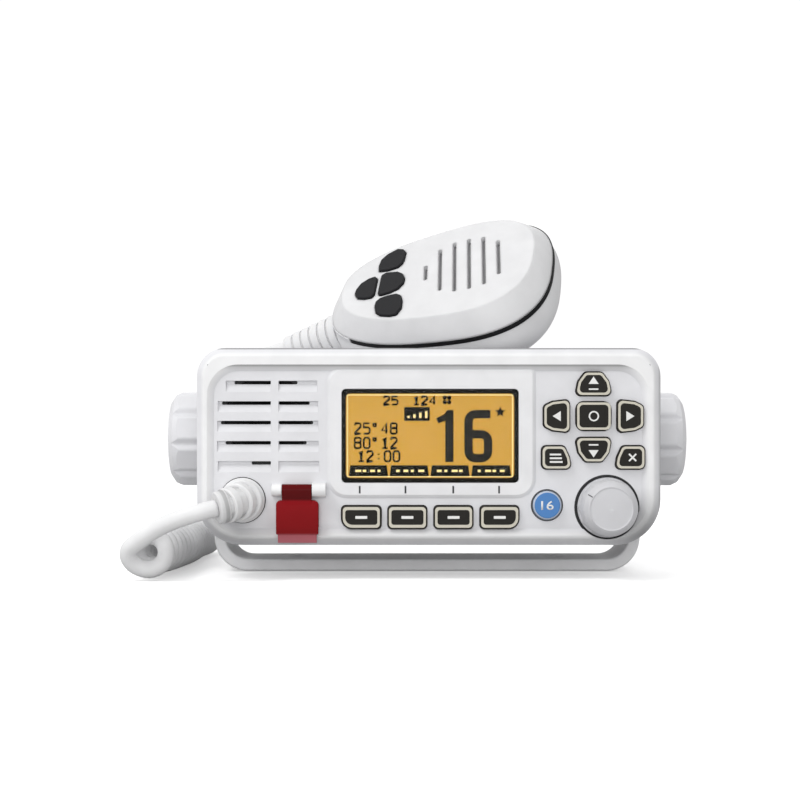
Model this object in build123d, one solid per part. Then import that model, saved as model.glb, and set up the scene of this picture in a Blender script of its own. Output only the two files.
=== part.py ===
from build123d import *
import math
import os

# ------------------------------------------------------------------ driving dimensions (mm)
# Frame: +X right, front of the radio faces -Y, +Z up, origin on the mounting surface
# under the tilt axis, midway between the bracket arms.
PIVOT_Z = 46.9            # height of the tilt axis
BZ_W = 156.5              # front panel width
BZ_H = 66.5               # front panel height
BZ_Z0 = 11.3              # lower edge of the front panel
BZ_ZC = BZ_Z0 + BZ_H / 2
Y_FRONT = -46.0           # rim plane of the front panel
Y_FLOOR = -44.6           # recessed floor of the front panel
Y_WALL = -42.2            # rear face of the front wall
Y_PANEL_BACK = -26.0      # rear edge of the front panel
CASE_HW = 70.2            # case half width
CASE_Z0, CASE_Z1 = 15.6, 70.75
Y_BACK = 64.1             # rear end of the fins
ARM_IN, ARM_T = 71.5, 4.2  # inner face and thickness of the bracket arms
PLATE_T = 4.2
PLATE_HD = 14.0           # half depth of the bracket
BEND_R = 12.0             # outer radius of the bracket bends
HOLE_X = 46.5             # bracket fixing holes at +-HOLE_X
HOLE_D = 5.2
KNOB_R = 17.2
KNOB_X0, KNOB_X1 = 76.2, 92.3
STUD_R = 2.9
KEY_GAP = 0.28            # running gap round each key
CORD_D = 5.8
COIL_D = 16.4
SCREW_X, SCREW_Z = 72.2, (30.0, 65.6)     # case screws, in the flange beside the case

os.makedirs("parts", exist_ok=True)
NODES = {}


def save(name, shape):
    sol = list(shape.solids())
    NODES[name] = shape
    s = sol[0] if len(sol) == 1 else Compound(children=sol)
    export_step(s, f"parts/{name}.step")


# ------------------------------------------------------------------ helpers
def fp(y):
    """plane facing the front, local x = X, local y = Z"""
    return Plane(origin=(0, y, 0), x_dir=(1, 0, 0), z_dir=(0, -1, 0))


def prism(face, y_back, y_front, taper=0):
    return extrude(fp(y_back) * face, amount=y_back - y_front, taper=taper)


def rpoly(pts, radii):
    """closed polygon with one corner radius per point"""
    return make_face(FilletPolyline(*[(p[0], p[1]) for p in pts], radius=list(radii), close=True))


def rrect(x0, x1, z0, z1, r):
    """rounded rectangle; r = radius or (bl, br, tr, tl)"""
    rr = [r] * 4 if not isinstance(r, (tuple, list)) else list(r)
    return rpoly([(x0, z0), (x1, z0), (x1, z1), (x0, z1)], rr)


def bx(x0, x1, y0, y1, z0, z1):
    return Pos((x0 + x1) / 2, (y0 + y1) / 2, (z0 + z1) / 2) * Box(x1 - x0, y1 - y0, z1 - z0)


def cyl(p, axis, r, h):
    """cylinder starting at p, running h along axis"""
    return extrude(Plane(origin=p, z_dir=axis) * Circle(r), amount=h)


def cone(p, axis, r0, r1, h):
    pl = Plane(origin=p, z_dir=axis)
    return pl * Pos(0, 0, h / 2) * Cone(r0, r1, h)


# ================================================================== bracket
def bracket():
    xo = ARM_IN + ARM_T
    zi = PLATE_T
    ri = BEND_R - ARM_T
    # plate and bends, drawn across the radio
    sec = make_face([
        Line((-xo + BEND_R, 0), (xo - BEND_R, 0)),
        ThreePointArc((xo - BEND_R, 0), (xo - BEND_R * (1 - math.sqrt(0.5)), BEND_R * (1 - math.sqrt(0.5))), (xo, BEND_R)),
        Line((xo, BEND_R), (ARM_IN, BEND_R)),
        ThreePointArc((ARM_IN, BEND_R), (ARM_IN - ri * (1 - math.sqrt(0.5)), zi + ri * (1 - math.sqrt(0.5))), (ARM_IN - ri, zi)),
        Line((ARM_IN - ri, zi), (-ARM_IN + ri, zi)),
        ThreePointArc((-ARM_IN + ri, zi), (-ARM_IN + ri * (1 - math.sqrt(0.5)), zi + ri * (1 - math.sqrt(0.5))), (-ARM_IN, BEND_R)),
        Line((-ARM_IN, BEND_R), (-xo, BEND_R)),
        ThreePointArc((-xo, BEND_R), (-xo + BEND_R * (1 - math.sqrt(0.5)), BEND_R * (1 - math.sqrt(0.5))), (-xo + BEND_R, 0)),
    ])
    u = extrude(Plane(origin=(0, PLATE_HD, 0), x_dir=(1, 0, 0), z_dir=(0, -1, 0)) * sec, amount=2 * PLATE_HD)
    # arms with round tops
    arm = make_face([
        Line((-PLATE_HD, BEND_R), (PLATE_HD, BEND_R)), Line((PLATE_HD, BEND_R), (PLATE_HD, PIVOT_Z)),
        ThreePointArc((PLATE_HD, PIVOT_Z), (0, PIVOT_Z + PLATE_HD), (-PLATE_HD, PIVOT_Z)),
        Line((-PLATE_HD, PIVOT_Z), (-PLATE_HD, BEND_R)),
    ])
    for x0 in (-xo, ARM_IN):
        u += extrude(Plane(origin=(x0, 0, 0), x_dir=(0, 1, 0), z_dir=(1, 0, 0)) * arm, amount=ARM_T)
    # softened edges all along the outline
    es = [e for e in u.edges() if abs(abs(e.center().Y) - PLATE_HD) < 0.01 and e.length > 3]
    es += [e for e in u.edges() if e.geom_type == GeomType.CIRCLE and e.center().Z > PIVOT_Z + 3]
    try:
        u2 = fillet(es, 0.8)
        if u2.is_valid and u2.volume > 0.9 * u.volume:
            u = u2
    except Exception:
        print("bracket edges left sharp")
    # pivot holes and fixing holes
    u -= cyl((-xo - 5, 0, PIVOT_Z), (1, 0, 0), STUD_R + 0.25, 2 * xo + 10)
    for sx in (-1, 1):
        u -= cyl((sx * HOLE_X, 0, -1), (0, 0, 1), HOLE_D / 2, PLATE_T + 2)
        u -= cone((sx * HOLE_X, 0, PLATE_T - 1.1), (0, 0, 1), HOLE_D / 2, HOLE_D / 2 + 1.4, 1.2)
    return u


save("bracket", bracket())


# ================================================================== clamping knobs
def knob(sx):
    n = 9
    pts = []
    # nine flats with small notches between them
    for i in range(n):
        a = math.radians(54 + i * 40)
        for da, rr in ((-13.5, 1.0), (13.5, 1.0)):
            b = a + math.radians(20 + da)
            pts.append((KNOB_R * 0.995 * rr * math.cos(b), KNOB_R * 0.995 * rr * math.sin(b)))
        b = a + math.radians(40)
        pts.append((KNOB_R * 0.905 * math.cos(b), KNOB_R * 0.905 * math.sin(b)))
    radii = []
    for i in range(n):
        radii += [1.6, 1.6, 0.9]
    pl = Plane(origin=(sx * KNOB_X0, 0, PIVOT_Z), x_dir=(0, -sx, 0), z_dir=(sx, 0, 0))
    L = KNOB_X1 - KNOB_X0
    body = extrude(pl * rpoly(pts, radii), amount=L)
    # turned envelope: flange at the arm, waist, tapered outer face
    env = revolve(Plane(origin=(0, 0, PIVOT_Z), x_dir=(1, 0, 0), z_dir=(0, -1, 0)) * make_face(Polyline(
        (sx * KNOB_X0, 0), (sx * KNOB_X0, KNOB_R), (sx * (KNOB_X0 + 11.8), KNOB_R),
        (sx * (KNOB_X1 - 1.6), KNOB_R - 1.3), (sx * KNOB_X1, KNOB_R - 3.6), (sx * KNOB_X1, 0), close=True)),
        axis=Axis((0, 0, PIVOT_Z), (1, 0, 0)))
    body &= env
    # shallow dished outer face and blind socket for the stud
    dish = cyl((sx * (KNOB_X1 - 1.2), 0, PIVOT_Z), (sx, 0, 0), 9.5, 3)
    body -= dish
    hub = cyl((sx * (KNOB_X1 - 1.21), 0, PIVOT_Z), (sx, 0, 0), 4.2, 0.9)
    body += hub
    body -= cyl((sx * (KNOB_X0 - 1), 0, PIVOT_Z), (sx, 0, 0), STUD_R, 10.0 + 1)
    return body


save("knob_left", knob(-1))
save("knob_right", knob(1))


def stud(sx):
    x_in = 60.4
    s = cyl((sx * x_in, 0, PIVOT_Z), (sx, 0, 0), STUD_R, KNOB_X0 + 10.0 - x_in)
    # rolled thread grooves near the inner end
    for i in range(5):
        x = x_in + 1.5 + i * 1.5
        ring = cyl((sx * x, 0, PIVOT_Z), (sx, 0, 0), STUD_R + 1, 0.5) - \
            cyl((sx * x, 0, PIVOT_Z), (sx, 0, 0), STUD_R - 0.35, 0.5)
        s -= ring
    # shoulder collar between knob and arm
    s += cyl((sx * (ARM_IN + ARM_T + 0.1), 0, PIVOT_Z), (sx, 0, 0), 7.0, KNOB_X0 - ARM_IN - ARM_T - 0.1)
    return s


save("knob_stud_left", stud(-1))
save("knob_stud_right", stud(1))


def tube_x(x0, x1, r_out, r_in):
    return cyl((x0, 0, PIVOT_Z), (1, 0, 0), r_out, x1 - x0) - \
        cyl((x0 - 1, 0, PIVOT_Z), (1, 0, 0), r_in, x1 - x0 + 2)


save("pivot_washers", Compound(children=[
    tube_x(CASE_HW, ARM_IN - 0.05, 12.0, STUD_R + 0.4), tube_x(-ARM_IN + 0.05, -CASE_HW, 12.0, STUD_R + 0.4)]))
save("side_inserts", Compound(children=[
    tube_x(59.6, CASE_HW - 0.4, 5.0, STUD_R + 0.06), tube_x(-CASE_HW + 0.4, -59.6, 5.0, STUD_R + 0.06)]))

# ================================================================== key outlines on the panel
# each entry: outline (X, Z), closed
KEYS = {
    "key_up": [(49.2, 61.7), (61.6, 61.7), (60.6, 66.5), (58.3, 69.6), (52.5, 69.6), (50.2, 66.5)],
    "key_down": [(52.5, 39.4), (58.3, 39.4), (60.6, 42.5), (61.6, 47.6), (49.2, 47.6), (50.2, 42.5)],
    "key_left": [(38.6, 51.3), (41.5, 49.9), (47.4, 49.2), (47.4, 60.4), (41.5, 59.7), (38.6, 58.3)],
    "key_right": [(63.4, 49.2), (69.3, 49.9), (72.2, 51.3), (72.2, 58.3), (69.3, 59.7), (63.4, 60.4)],
    "key_enter": [(49.6, 50.0), (61.3, 50.0), (61.3, 59.6), (49.6, 59.6)],
    "key_menu": [(38.0, 37.0), (48.0, 37.0), (47.3, 41.0), (45.6, 44.8), (38.0, 44.8)],
    "key_clear": [(62.6, 37.0), (72.6, 37.0), (72.6, 44.8), (65.0, 44.8), (63.3, 41.0)],
}
KEY_R = {
    "key_up": [1.6, 1.6, 1.8, 1.6, 1.6, 1.8], "key_down": [1.6, 1.6, 1.8, 1.6, 1.6, 1.8],
    "key_left": [1.6, 1.8, 1.5, 1.5, 1.8, 1.6], "key_right": [1.5, 1.8, 1.6, 1.6, 1.8, 1.5],
    "key_enter": [2.6, 2.6, 2.6, 2.6],
    "key_menu": [1.6, 1.6, 1.8, 1.6, 1.6], "key_clear": [1.6, 1.6, 1.6, 1.6, 1.8],
}
SOFT_X = [(-29.3, -16.1), (-13.7, -0.7), (1.8, 14.8), (17.3, 30.3)]
SOFT_Z = (16.95, 24.6)
SOFT_R = [(3.4, 1.3, 1.3, 1.3), (1.3, 1.3, 1.3, 1.3), (1.3, 1.3, 1.3, 1.3), (1.3, 3.4, 1.3, 1.3)]
CH_C, CH_R = (39.8, 24.8), 5.1
DIAL_C = (60.0, 24.1)
DIAL_R = 10.0
DIS_X = (-51.2, -37.0)
DIS_Z = (15.3, 26.6)
PIN_Y, PIN_Z = -46.9, 30.0
DK = (-48.6, -39.6, 17.2, 24.8)      # guarded key: x0, x1, z0, z1
BOOT_C = (-62.7, 26.5)

key_faces = {}
for k in KEYS:
    key_faces[k] = (rpoly(KEYS[k], KEY_R[k]))
for i in range(4):
    key_faces[f"soft_key_{i+1}"] = rrect(SOFT_X[i][0], SOFT_X[i][1], SOFT_Z[0], SOFT_Z[1], SOFT_R[i])
key_faces["key_channel"] = Pos(CH_C[0], CH_C[1]) * Circle(CH_R - 0.3)

# display
WIN = (-29.3, 30.2, 32.4, 63.9)      # outer edge of the window
ACT = (-28.2, 29.1, 33.7, 62.7)      # visible LCD area


# ================================================================== front panel
def front_panel():
    x0, x1 = -BZ_W / 2, BZ_W / 2
    z0, z1 = BZ_Z0, BZ_Z0 + BZ_H
    outer = rrect(x0, x1, z0, z1, (15.5, 15.5, 9.6, 9.6))
    p = prism(outer, Y_PANEL_BACK, Y_FRONT)
    front_edges = p.faces().sort_by(Axis.Y)[0].edges()
    p = chamfer(front_edges, 2.6)
    fr = p.faces().sort_by(Axis.Y)[0]
    p = fillet(fr.edges(), 1.2)
    # hollow rear side
    cav = rrect(x0 + 2.6, x1 - 2.6, z0 + 2.6, z1 - 2.6, (13.0, 13.0, 7.2, 7.2))
    p -= prism(cav, Y_PANEL_BACK + 1, Y_WALL)
    # sloped recess in the front
    rec = rrect(-74.6, 74.0, 14.7, 72.2, (12.5, 12.5, 10.5, 10.5))
    cutr = extrude(Plane(origin=(0, Y_FRONT - 0.02, 0), x_dir=(1, 0, 0), z_dir=(0, -1, 0)) * rec,
                   amount=-(Y_FLOOR - Y_FRONT + 0.02), taper=58)
    p -= cutr
    # raised display plate
    plate = rrect(-34.3, 36.1, 27.1, 71.2, (6.6, 6.6, 2.2, 4.6))
    pl = prism(plate, Y_FLOOR + 0.5, Y_FLOOR)
    pl += prism(plate, Y_FLOOR, Y_FLOOR - 0.7, taper=60)
    p += pl
    # window pocket and LCD opening
    p -= prism(rrect(WIN[0] - 0.1, WIN[1] + 0.1, WIN[2] - 0.1, WIN[3] + 0.1, 1.5), Y_FLOOR + 1.1, Y_FRONT - 1)
    p -= prism(rrect(ACT[0] - 0.3, ACT[1] + 0.3, ACT[2] - 0.3, ACT[3] + 0.3, 0.8), Y_WALL + 1, Y_FRONT)
    # speaker louvres: wedge grooves with open slits along their upper edge
    rows = [66.7, 59.8, 53.2, 46.4, 39.6]
    gx = [(-68.3, -37.6), (-71.0, -37.3), (-71.2, -37.2), (-71.3, -37.1), (-71.0, -37.0)]
    slit = [[(-65.6, -53.2), (-50.6, -44.3)], [(-69.8, -53.2), (-50.6, -40.2)],
            [(-70.2, -53.2), (-50.6, -39.0)], [(-68.6, -53.2), (-50.6, -41.2)],
            [(-59.8, -53.2)]]
    for zt, (gx0, gx1), sl in zip(rows, gx, slit):
        tri = make_face(Polyline((Y_FLOOR - 0.5, zt), (Y_FLOOR + 1.15, zt), (Y_FLOOR + 1.15, zt - 1.0),
                                 (Y_FLOOR - 0.01, zt - 3.7), (Y_FLOOR - 0.5, zt - 3.7), close=True))
        for a, b in ((gx0, -53.2), (-50.6, gx1)):
            g = extrude(Plane(origin=(a, 0, 0), x_dir=(0, 1, 0), z_dir=(1, 0, 0)) * tri, amount=b - a)
            p -= g
        for a, b in sl:
            p -= prism(rrect(a, b, zt - 1.15, zt, 0.5), Y_WALL + 1, Y_FLOOR + 0.5)
    # key holes with a shallow rim step round each
    for k, f in key_faces.items():
        hole = offset(f, amount=KEY_GAP)
        p -= prism(hole, Y_WALL + 1, Y_FRONT - 1)
    # dial seat: shallow ring round the shaft hole
    p -= cyl((DIAL_C[0], Y_FRONT - 3, DIAL_C[1]), (0, 1, 0), 10.75, Y_FLOOR - Y_FRONT + 3)
    p -= cyl((DIAL_C[0], Y_FLOOR - 1, DIAL_C[1]), (0, 1, 0), 4.6, 6)
    # guarded key hole, cord boot hole
    p -= prism(rrect(DK[0] - KEY_GAP, DK[1] + KEY_GAP, DK[2] - KEY_GAP, DK[3] + KEY_GAP, 1.2), Y_WALL + 1, Y_FRONT)
    p -= cyl((BOOT_C[0], Y_FRONT - 2, BOOT_C[1]), (0, 1, 0), 4.6, 8)
    # hinge lugs of the cover
    for a, b, r in ((-52.7, -49.35, 2.0), (-39.15, -34.6, 2.35)):
        lug = cyl((a, PIN_Y, PIN_Z), (1, 0, 0), r, b - a)
        lug += bx(a, b, PIN_Y, Y_FLOOR + 0.4, PIN_Z - r, PIN_Z + r)
        lug -= cyl((a - 1, PIN_Y, PIN_Z), (1, 0, 0), 0.75, (b - a) + (1 if a < -45 else 0.0))
        p += lug
    p -= cyl((-53.0, PIN_Y, PIN_Z), (1, 0, 0), 0.75, 15.9)
    # screw bosses inside the corners
    for sx in (-1, 1):
        for zb in SCREW_Z:
            b = cyl((sx * SCREW_X, Y_PANEL_BACK, zb), (0, -1, 0), 2.9, Y_PANEL_BACK - Y_WALL + 0.3)
            b -= cyl((sx * SCREW_X, Y_PANEL_BACK + 0.5, zb), (0, -1, 0), 1.25, 12.5)
            p += b
    return p


panel = front_panel()
save("front_panel", panel)


# ================================================================== keys
def key(face, y_front=Y_FLOOR - 1.7, edge=0.45):
    cap = prism(face, Y_WALL + 0.02, y_front)
    cap = fillet(cap.faces().sort_by(Axis.Y)[0].edges(), edge)
    fl = prism(offset(face, amount=0.75), Y_WALL + 0.9, Y_WALL + 0.02)
    return cap + fl


for k, f in key_faces.items():
    if k != "key_channel":
        save(k, key(f))
save("key_channel", key(key_faces["key_channel"], Y_FLOOR - 1.9, 0.7))

dkf = rrect(DK[0], DK[1], DK[2], DK[3], 1.0)
save("distress_key", key(dkf, Y_FLOOR - 0.5, 0.3))


# ================================================================== distress cover and pin
def cover():
    yf = -48.6
    yb = -47.2
    main = prism(rrect(DIS_X[0], DIS_X[1], DIS_Z[0] - 0.2, DIS_Z[1], (0.5, 0.5, 1.6, 1.6)), yb, yf)
    main = fillet(main.faces().sort_by(Axis.Y)[0].edges(), 0.35)
    # side skirts
    for a, b in ((DIS_X[0], DIS_X[0] + 1.0), (DIS_X[1] - 1.0, DIS_X[1])):
        main += bx(a, b, yb - 0.3, Y_FLOOR - 0.15, 17.6, DIS_Z[1] - 1.4)
    # knuckle round the pin and web down to the plate
    main += cyl((-49.2, PIN_Y, PIN_Z), (1, 0, 0), 1.95, 9.9)
    web = make_face(Polyline((-48.85, PIN_Z - 0.2), (-46.95, PIN_Z - 0.2), (-47.2, DIS_Z[1] - 1.5),
                             (-48.6, DIS_Z[1] - 1.5), close=True))
    main += extrude(Plane(origin=(-49.2, 0, 0), x_dir=(0, 1, 0), z_dir=(1, 0, 0)) * web, amount=9.9)
    # sloping lower lip
    lip = make_face(Polyline((yf + 0.1, DIS_Z[0]), (yb, DIS_Z[0]), (-46.35, 12.6), (-47.35, 12.3),
                             close=True))
    main += extrude(Plane(origin=(DIS_X[0] + 0.6, 0, 0), x_dir=(0, 1, 0), z_dir=(1, 0, 0)) * lip,
                    amount=DIS_X[1] - DIS_X[0] - 1.2)
    main -= cyl((-50, PIN_Y, PIN_Z), (1, 0, 0), 0.72, 12)
    return main


save("distress_cover", cover())
save("distress_pin", cyl((-52.5, PIN_Y, PIN_Z), (1, 0, 0), 0.65, 15.2))


# ================================================================== dial
DIAL_Y0 = Y_FLOOR - 0.4        # rear face of the dial knob
SLEEVE_R, SHAFT_R = 3.5, 2.5


def dial_knob():
    y0 = DIAL_Y0
    cx, cz = DIAL_C
    prof = make_face(Polyline((0, y0), (DIAL_R, y0), (DIAL_R + 0.1, y0 - 1.2), (DIAL_R - 0.9, y0 - 9.6),
                              (DIAL_R - 2.0, y0 - 11.4), (7.2, y0 - 12.3), (6.7, y0 - 12.1), (0, y0 - 12.5),
                              close=True))
    k = revolve(Plane(origin=(cx, 0, cz), x_dir=(1, 0, 0), z_dir=(0, 0, 1)) * prof,
                axis=Axis((cx, 0, cz), (0, 1, 0)))
    # twelve shallow finger scoops round the rim
    for i in range(12):
        a = math.radians(15 + 30 * i)
        rr = DIAL_R + 14.1
        k -= cyl((cx + rr * math.cos(a), y0 - 13.5, cz + rr * math.sin(a)), (0, 1, 0), 14.75, 11.0)
    # socket for the shaft, with its flat, and a wider mouth over the sleeve
    k -= cyl((cx, y0 + 1, cz), (0, -1, 0), SHAFT_R, 9.0)
    k += bx(cx - 1.9, cx + 1.9, y0 - 8.0, y0 - 3.2, cz + 1.9, cz + SHAFT_R + 0.3)
    k -= cyl((cx, y0 + 1, cz), (0, -1, 0), SLEEVE_R + 0.35, 3.4)
    return k


save("dial_knob", dial_knob())


def dial_shaft():
    cx, cz = DIAL_C
    s = cyl((cx, DIAL_Y0 - 7.9, cz), (0, 1, 0), SHAFT_R, 7.9 - DIAL_Y0 - 34.0 + 0.0)
    s -= bx(cx - 3, cx + 3, DIAL_Y0 - 8.5, DIAL_Y0 - 3.0, cz + 1.9, cz + 4)
    # collar that carries the sleeve
    return s


save("dial_shaft", dial_shaft())
# push sleeve, runs in the encoder bushing
cx_, cz_ = DIAL_C
sleeve = cyl((cx_, DIAL_Y0 - 2.0, cz_), (0, 1, 0), SLEEVE_R, 10.6) - \
    cyl((cx_, DIAL_Y0 - 3.0, cz_), (0, 1, 0), SHAFT_R + 0.06, 13.0)
sleeve += cyl((cx_, DIAL_Y0 + 8.6, cz_), (0, 1, 0), 5.0, 1.0) - \
    cyl((cx_, DIAL_Y0 + 8.0, cz_), (0, 1, 0), SHAFT_R + 0.06, 3.0)
save("dial_sleeve", sleeve)


def encoder():
    cx, cz = cx_, cz_
    yb = Y_WALL + 0.05
    e = bx(cx - 6.2, cx + 6.2, yb, yb + 9.6, cz - 6.2, cz + 6.2)
    e = chamfer(e.edges().filter_by(Axis.Y), 0.8)
    e += cyl((cx, yb, cz), (0, -1, 0), 4.4, 2.0)
    e -= cyl((cx, yb - 5, cz), (0, 1, 0), SLEEVE_R + 0.06, 11.0)
    e -= cyl((cx, yb + 4.4, cz), (0, 1, 0), 5.15, 4.2)
    e -= cyl((cx, yb + 4.4, cz), (0, 1, 0), SHAFT_R + 0.2, 9.0)
    return e


save("dial_encoder", encoder())

# ================================================================== display stack, mat, boards
lens = prism(rrect(WIN[0], WIN[1], WIN[2], WIN[3], 1.4), Y_FLOOR + 1.1, Y_FLOOR - 0.35)
lens = chamfer(lens.faces().sort_by(Axis.Y)[0].edges(), 0.25)
save("display_window", lens)
lcd = prism(rrect(-30.6, 31.5, 31.6, 64.8, 0.8), Y_WALL + 1.7, Y_WALL)
save("lcd_panel", lcd)
save("lcd_backlight", prism(rrect(-31.4, 32.3, 30.9, 65.4, 0.8), Y_WALL + 4.6, Y_WALL + 1.7))

MAT_Y = Y_WALL + 2.0
mat = prism(rrect(-33.5, -0.0 + 34.5, 14.6, 29.6, 1.5), MAT_Y + 0.9, MAT_Y) + \
    prism(rrect(35.6, 74.0, 35.6, 62.2, 1.5), MAT_Y + 0.9, MAT_Y) + \
    prism(rrect(47.6, 63.4, 60.0, 71.2, 1.5), MAT_Y + 0.9, MAT_Y) + \
    prism(rrect(33.0, 46.5, 18.0, 37.0, 1.5), MAT_Y + 0.9, MAT_Y) + \
    prism(rrect(-52.0, -30.0, 15.5, 26.5, 1.5), MAT_Y + 0.9, MAT_Y)
mat -= cyl((DIAL_C[0], MAT_Y - 1, DIAL_C[1]), (0, 1, 0), 12.2, 5)
# one small dome under each key
dome_at = [((min(p[0] for p in KEYS[k]) + max(p[0] for p in KEYS[k])) / 2,
            (min(p[1] for p in KEYS[k]) + max(p[1] for p in KEYS[k])) / 2) for k in KEYS]
dome_at += [((a + b) / 2, 20.8) for a, b in SOFT_X] + [CH_C, ((DK[0] + DK[1]) / 2, (DK[2] + DK[3]) / 2)]
for dx, dz in dome_at:
    mat += Plane(origin=(dx, MAT_Y + 0.1, dz), z_dir=(0, -1, 0)) * Pos(0, 0, 0.0) * Cone(2.4, 1.6, 0.5, align=(Align.CENTER, Align.CENTER, Align.MIN))
save("keypad_mat", mat)

LB_Y = Y_WALL + 5.0
lb = prism(rrect(-34.0, 68.6, 15.4, 73.0, 1.5), LB_Y + 1.6, LB_Y) + \
    prism(rrect(-53.0, -30.0, 15.4, 29.0, 1.5), LB_Y + 1.6, LB_Y)
lb -= cyl((DIAL_C[0], LB_Y - 1, DIAL_C[1]), (0, 1, 0), 9.4, 5)
for xx, zz in ((-31, 69.5), (65.5, 70.0), (-24, 17.5), (34.0, 17.8)):
    lb -= cyl((xx, LB_Y - 1, zz), (0, 1, 0), 1.4, 5)
for (a, b, c, d, h) in ((-20, -6, 40, 54, 1.4), (2, 12, 44, 52, 1.0), (20, 30, 36, 44, 1.2), (-30, -22, 56, 66, 2.2)):
    lb += bx(a, b, LB_Y + 1.6, LB_Y + 1.6 + h, c, d)
save("logic_board", lb.solids().sort_by(SortBy.VOLUME)[-1])

# ================================================================== loudspeaker behind the louvres
SPK = (-54.5, 54.0)
SPK_Y = Y_WALL + 0.3
sf = cyl((SPK[0], SPK_Y, SPK[1]), (0, 1, 0), 17.6, 1.4) - cyl((SPK[0], SPK_Y - 1, SPK[1]), (0, 1, 0), 14.6, 4)
sf += (cone((SPK[0], SPK_Y + 1.4, SPK[1]), (0, 1, 0), 16.6, 9.6, 5.4) -
       cone((SPK[0], SPK_Y + 1.39, SPK[1]), (0, 1, 0), 15.6, 8.6, 5.42))
save("speaker_frame", sf)
sc = cone((SPK[0], SPK_Y + 0.7, SPK[1]), (0, 1, 0), 14.4, 5.0, 5.0) - \
    cone((SPK[0], SPK_Y + 0.3, SPK[1]), (0, 1, 0), 14.4, 5.0, 5.0)
sc += Pos(0, 0, 0) * cone((SPK[0], SPK_Y + 3.0, SPK[1]), (0, 1, 0), 3.0, 5.4, 2.2)
save("speaker_cone", sc.solids().sort_by(SortBy.VOLUME)[-1])
save("speaker_magnet", cyl((SPK[0], SPK_Y + 6.8, SPK[1]), (0, 1, 0), 9.5, 4.6) +
     cyl((SPK[0], SPK_Y + 11.4, SPK[1]), (0, 1, 0), 7.6, 1.2))

# ================================================================== case
def case():
    z0, z1 = CASE_Z0, CASE_Z1
    y0 = Y_PANEL_BACK + 0.6
    y1 = Y_BACK - 12.0
    fl = prism(rrect(-74.6, 74.6, 14.8, 74.4, (11.5, 11.5, 6.0, 6.0)), y0 + 3.0, y0)
    b = prism(rrect(-CASE_HW, CASE_HW, z0, z1, (5, 5, 4, 4)), y1, y0)
    c = b + fl
    # cavity
    c -= prism(rrect(-CASE_HW + 3, CASE_HW - 3, z0 + 3, z1 - 3, 3.0), y1 - 4.0, y0 - 1)
    # side bosses that take the inserts
    for sx in (-1, 1):
        xs = sorted((sx * 59.0, sx * (CASE_HW - 2)))
        boss = cyl((xs[0], 0, PIVOT_Z), (1, 0, 0), 8.0, xs[1] - xs[0])
        c += boss
        c -= cyl((sx * 58.0, 0, PIVOT_Z), (sx, 0, 0), 5.0, 16)
    # cooling fins across the back
    for i in range(13):
        x = -63.0 + i * 10.5
        zl = z0 + 30.5 if 12.0 < x < 68.0 else z0 + 3.0
        c += prism(rrect(x - 1.1, x + 1.1, zl, z1 - 3.0, 0.9), Y_BACK, y1 - 0.5)
    # flat pad for the sockets
    c += prism(rrect(14.0, 66.0, z0 + 2.0, z0 + 26.0, 2.0), y1 + 5.5, y1 - 0.5)
    for (x, z, r) in ((27.0, 30.0, 8.0), (53.0, 30.0, 6.4)):
        c -= cyl((x, y1 - 6, z), (0, 1, 0), r, 20)
        c += cyl((x, y1 - 4.0, z), (0, 1, 0), r + 1.6, 9.5) - cyl((x, y1 - 5.0, z), (0, 1, 0), r, 20)
    # screw holes in the flange
    for sx in (-1, 1):
        for zb in SCREW_Z:
            c -= cyl((sx * SCREW_X, y0 - 1, zb), (0, 1, 0), 1.5, 6)
            c -= cyl((sx * SCREW_X, y0 + 3.0, zb), (0, 1, 0), 2.5, 3)
    # a few board posts
    for xx in (-48.0, 48.0):
        for yy in (-12.0, 40.0):
            c += cyl((xx, yy, z0 + 2.5), (0, 0, 1), 3.0, 6.0)
    return c


cs = case()
save("case", cs)
SEAL_Y = Y_PANEL_BACK
mb_z = CASE_Z0 + 8.5
mb = bx(-54.0, 54.0, -22.0, 46.0, mb_z, mb_z + 1.6)
for (a, b, c_, d, h) in ((-40, -14, -10, 14, 3.0), (-6, 8, 8, 22, 1.6), (14, 34, -14, 6, 5.0), (-46, -36, 24, 40, 9.0),
                         (16, 30, 18, 30, 4.0)):
    mb += bx(a, b, c_, d, mb_z + 1.5, mb_z + 1.6 + h)
for xx in (-48.0, 48.0):
    for yy in (-12.0, 40.0):
        mb -= cyl((xx, yy, mb_z - 1), (0, 0, 1), 1.6, 5)
save("main_board", mb)
scr = []
for sx in (-1, 1):
    for zb in SCREW_Z:
        yh = Y_PANEL_BACK + 0.6 + 3.0
        s = cyl((sx * SCREW_X, yh, zb), (0, 1, 0), 2.2, 1.6) + cyl((sx * SCREW_X, yh + 0.1, zb), (0, -1, 0), 1.2, 12.6)
        s -= cyl((sx * SCREW_X, yh + 0.7, zb), (0, 1, 0), 1.1, 2.0)
        scr.append(s)
save("case_screws", Compound(children=scr))
# seal ring in two halves of the joint, compressed flat
save("case_seal", prism(rrect(-75.2, 75.2, 14.4, 74.8, (12.2, 12.2, 6.3, 6.3)), SEAL_Y + 0.6, SEAL_Y) -
     prism(rrect(-70.0, 70.0, 18.6, 70.4, 3.0), SEAL_Y + 1, SEAL_Y - 1) -
     (cyl((SCREW_X, SEAL_Y - 1, SCREW_Z[0]), (0, 1, 0), 1.7, 3) + cyl((-SCREW_X, SEAL_Y - 1, SCREW_Z[0]), (0, 1, 0), 1.7, 3) +
      cyl((SCREW_X, SEAL_Y - 1, SCREW_Z[1]), (0, 1, 0), 1.7, 3) + cyl((-SCREW_X, SEAL_Y - 1, SCREW_Z[1]), (0, 1, 0), 1.7, 3)))

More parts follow.
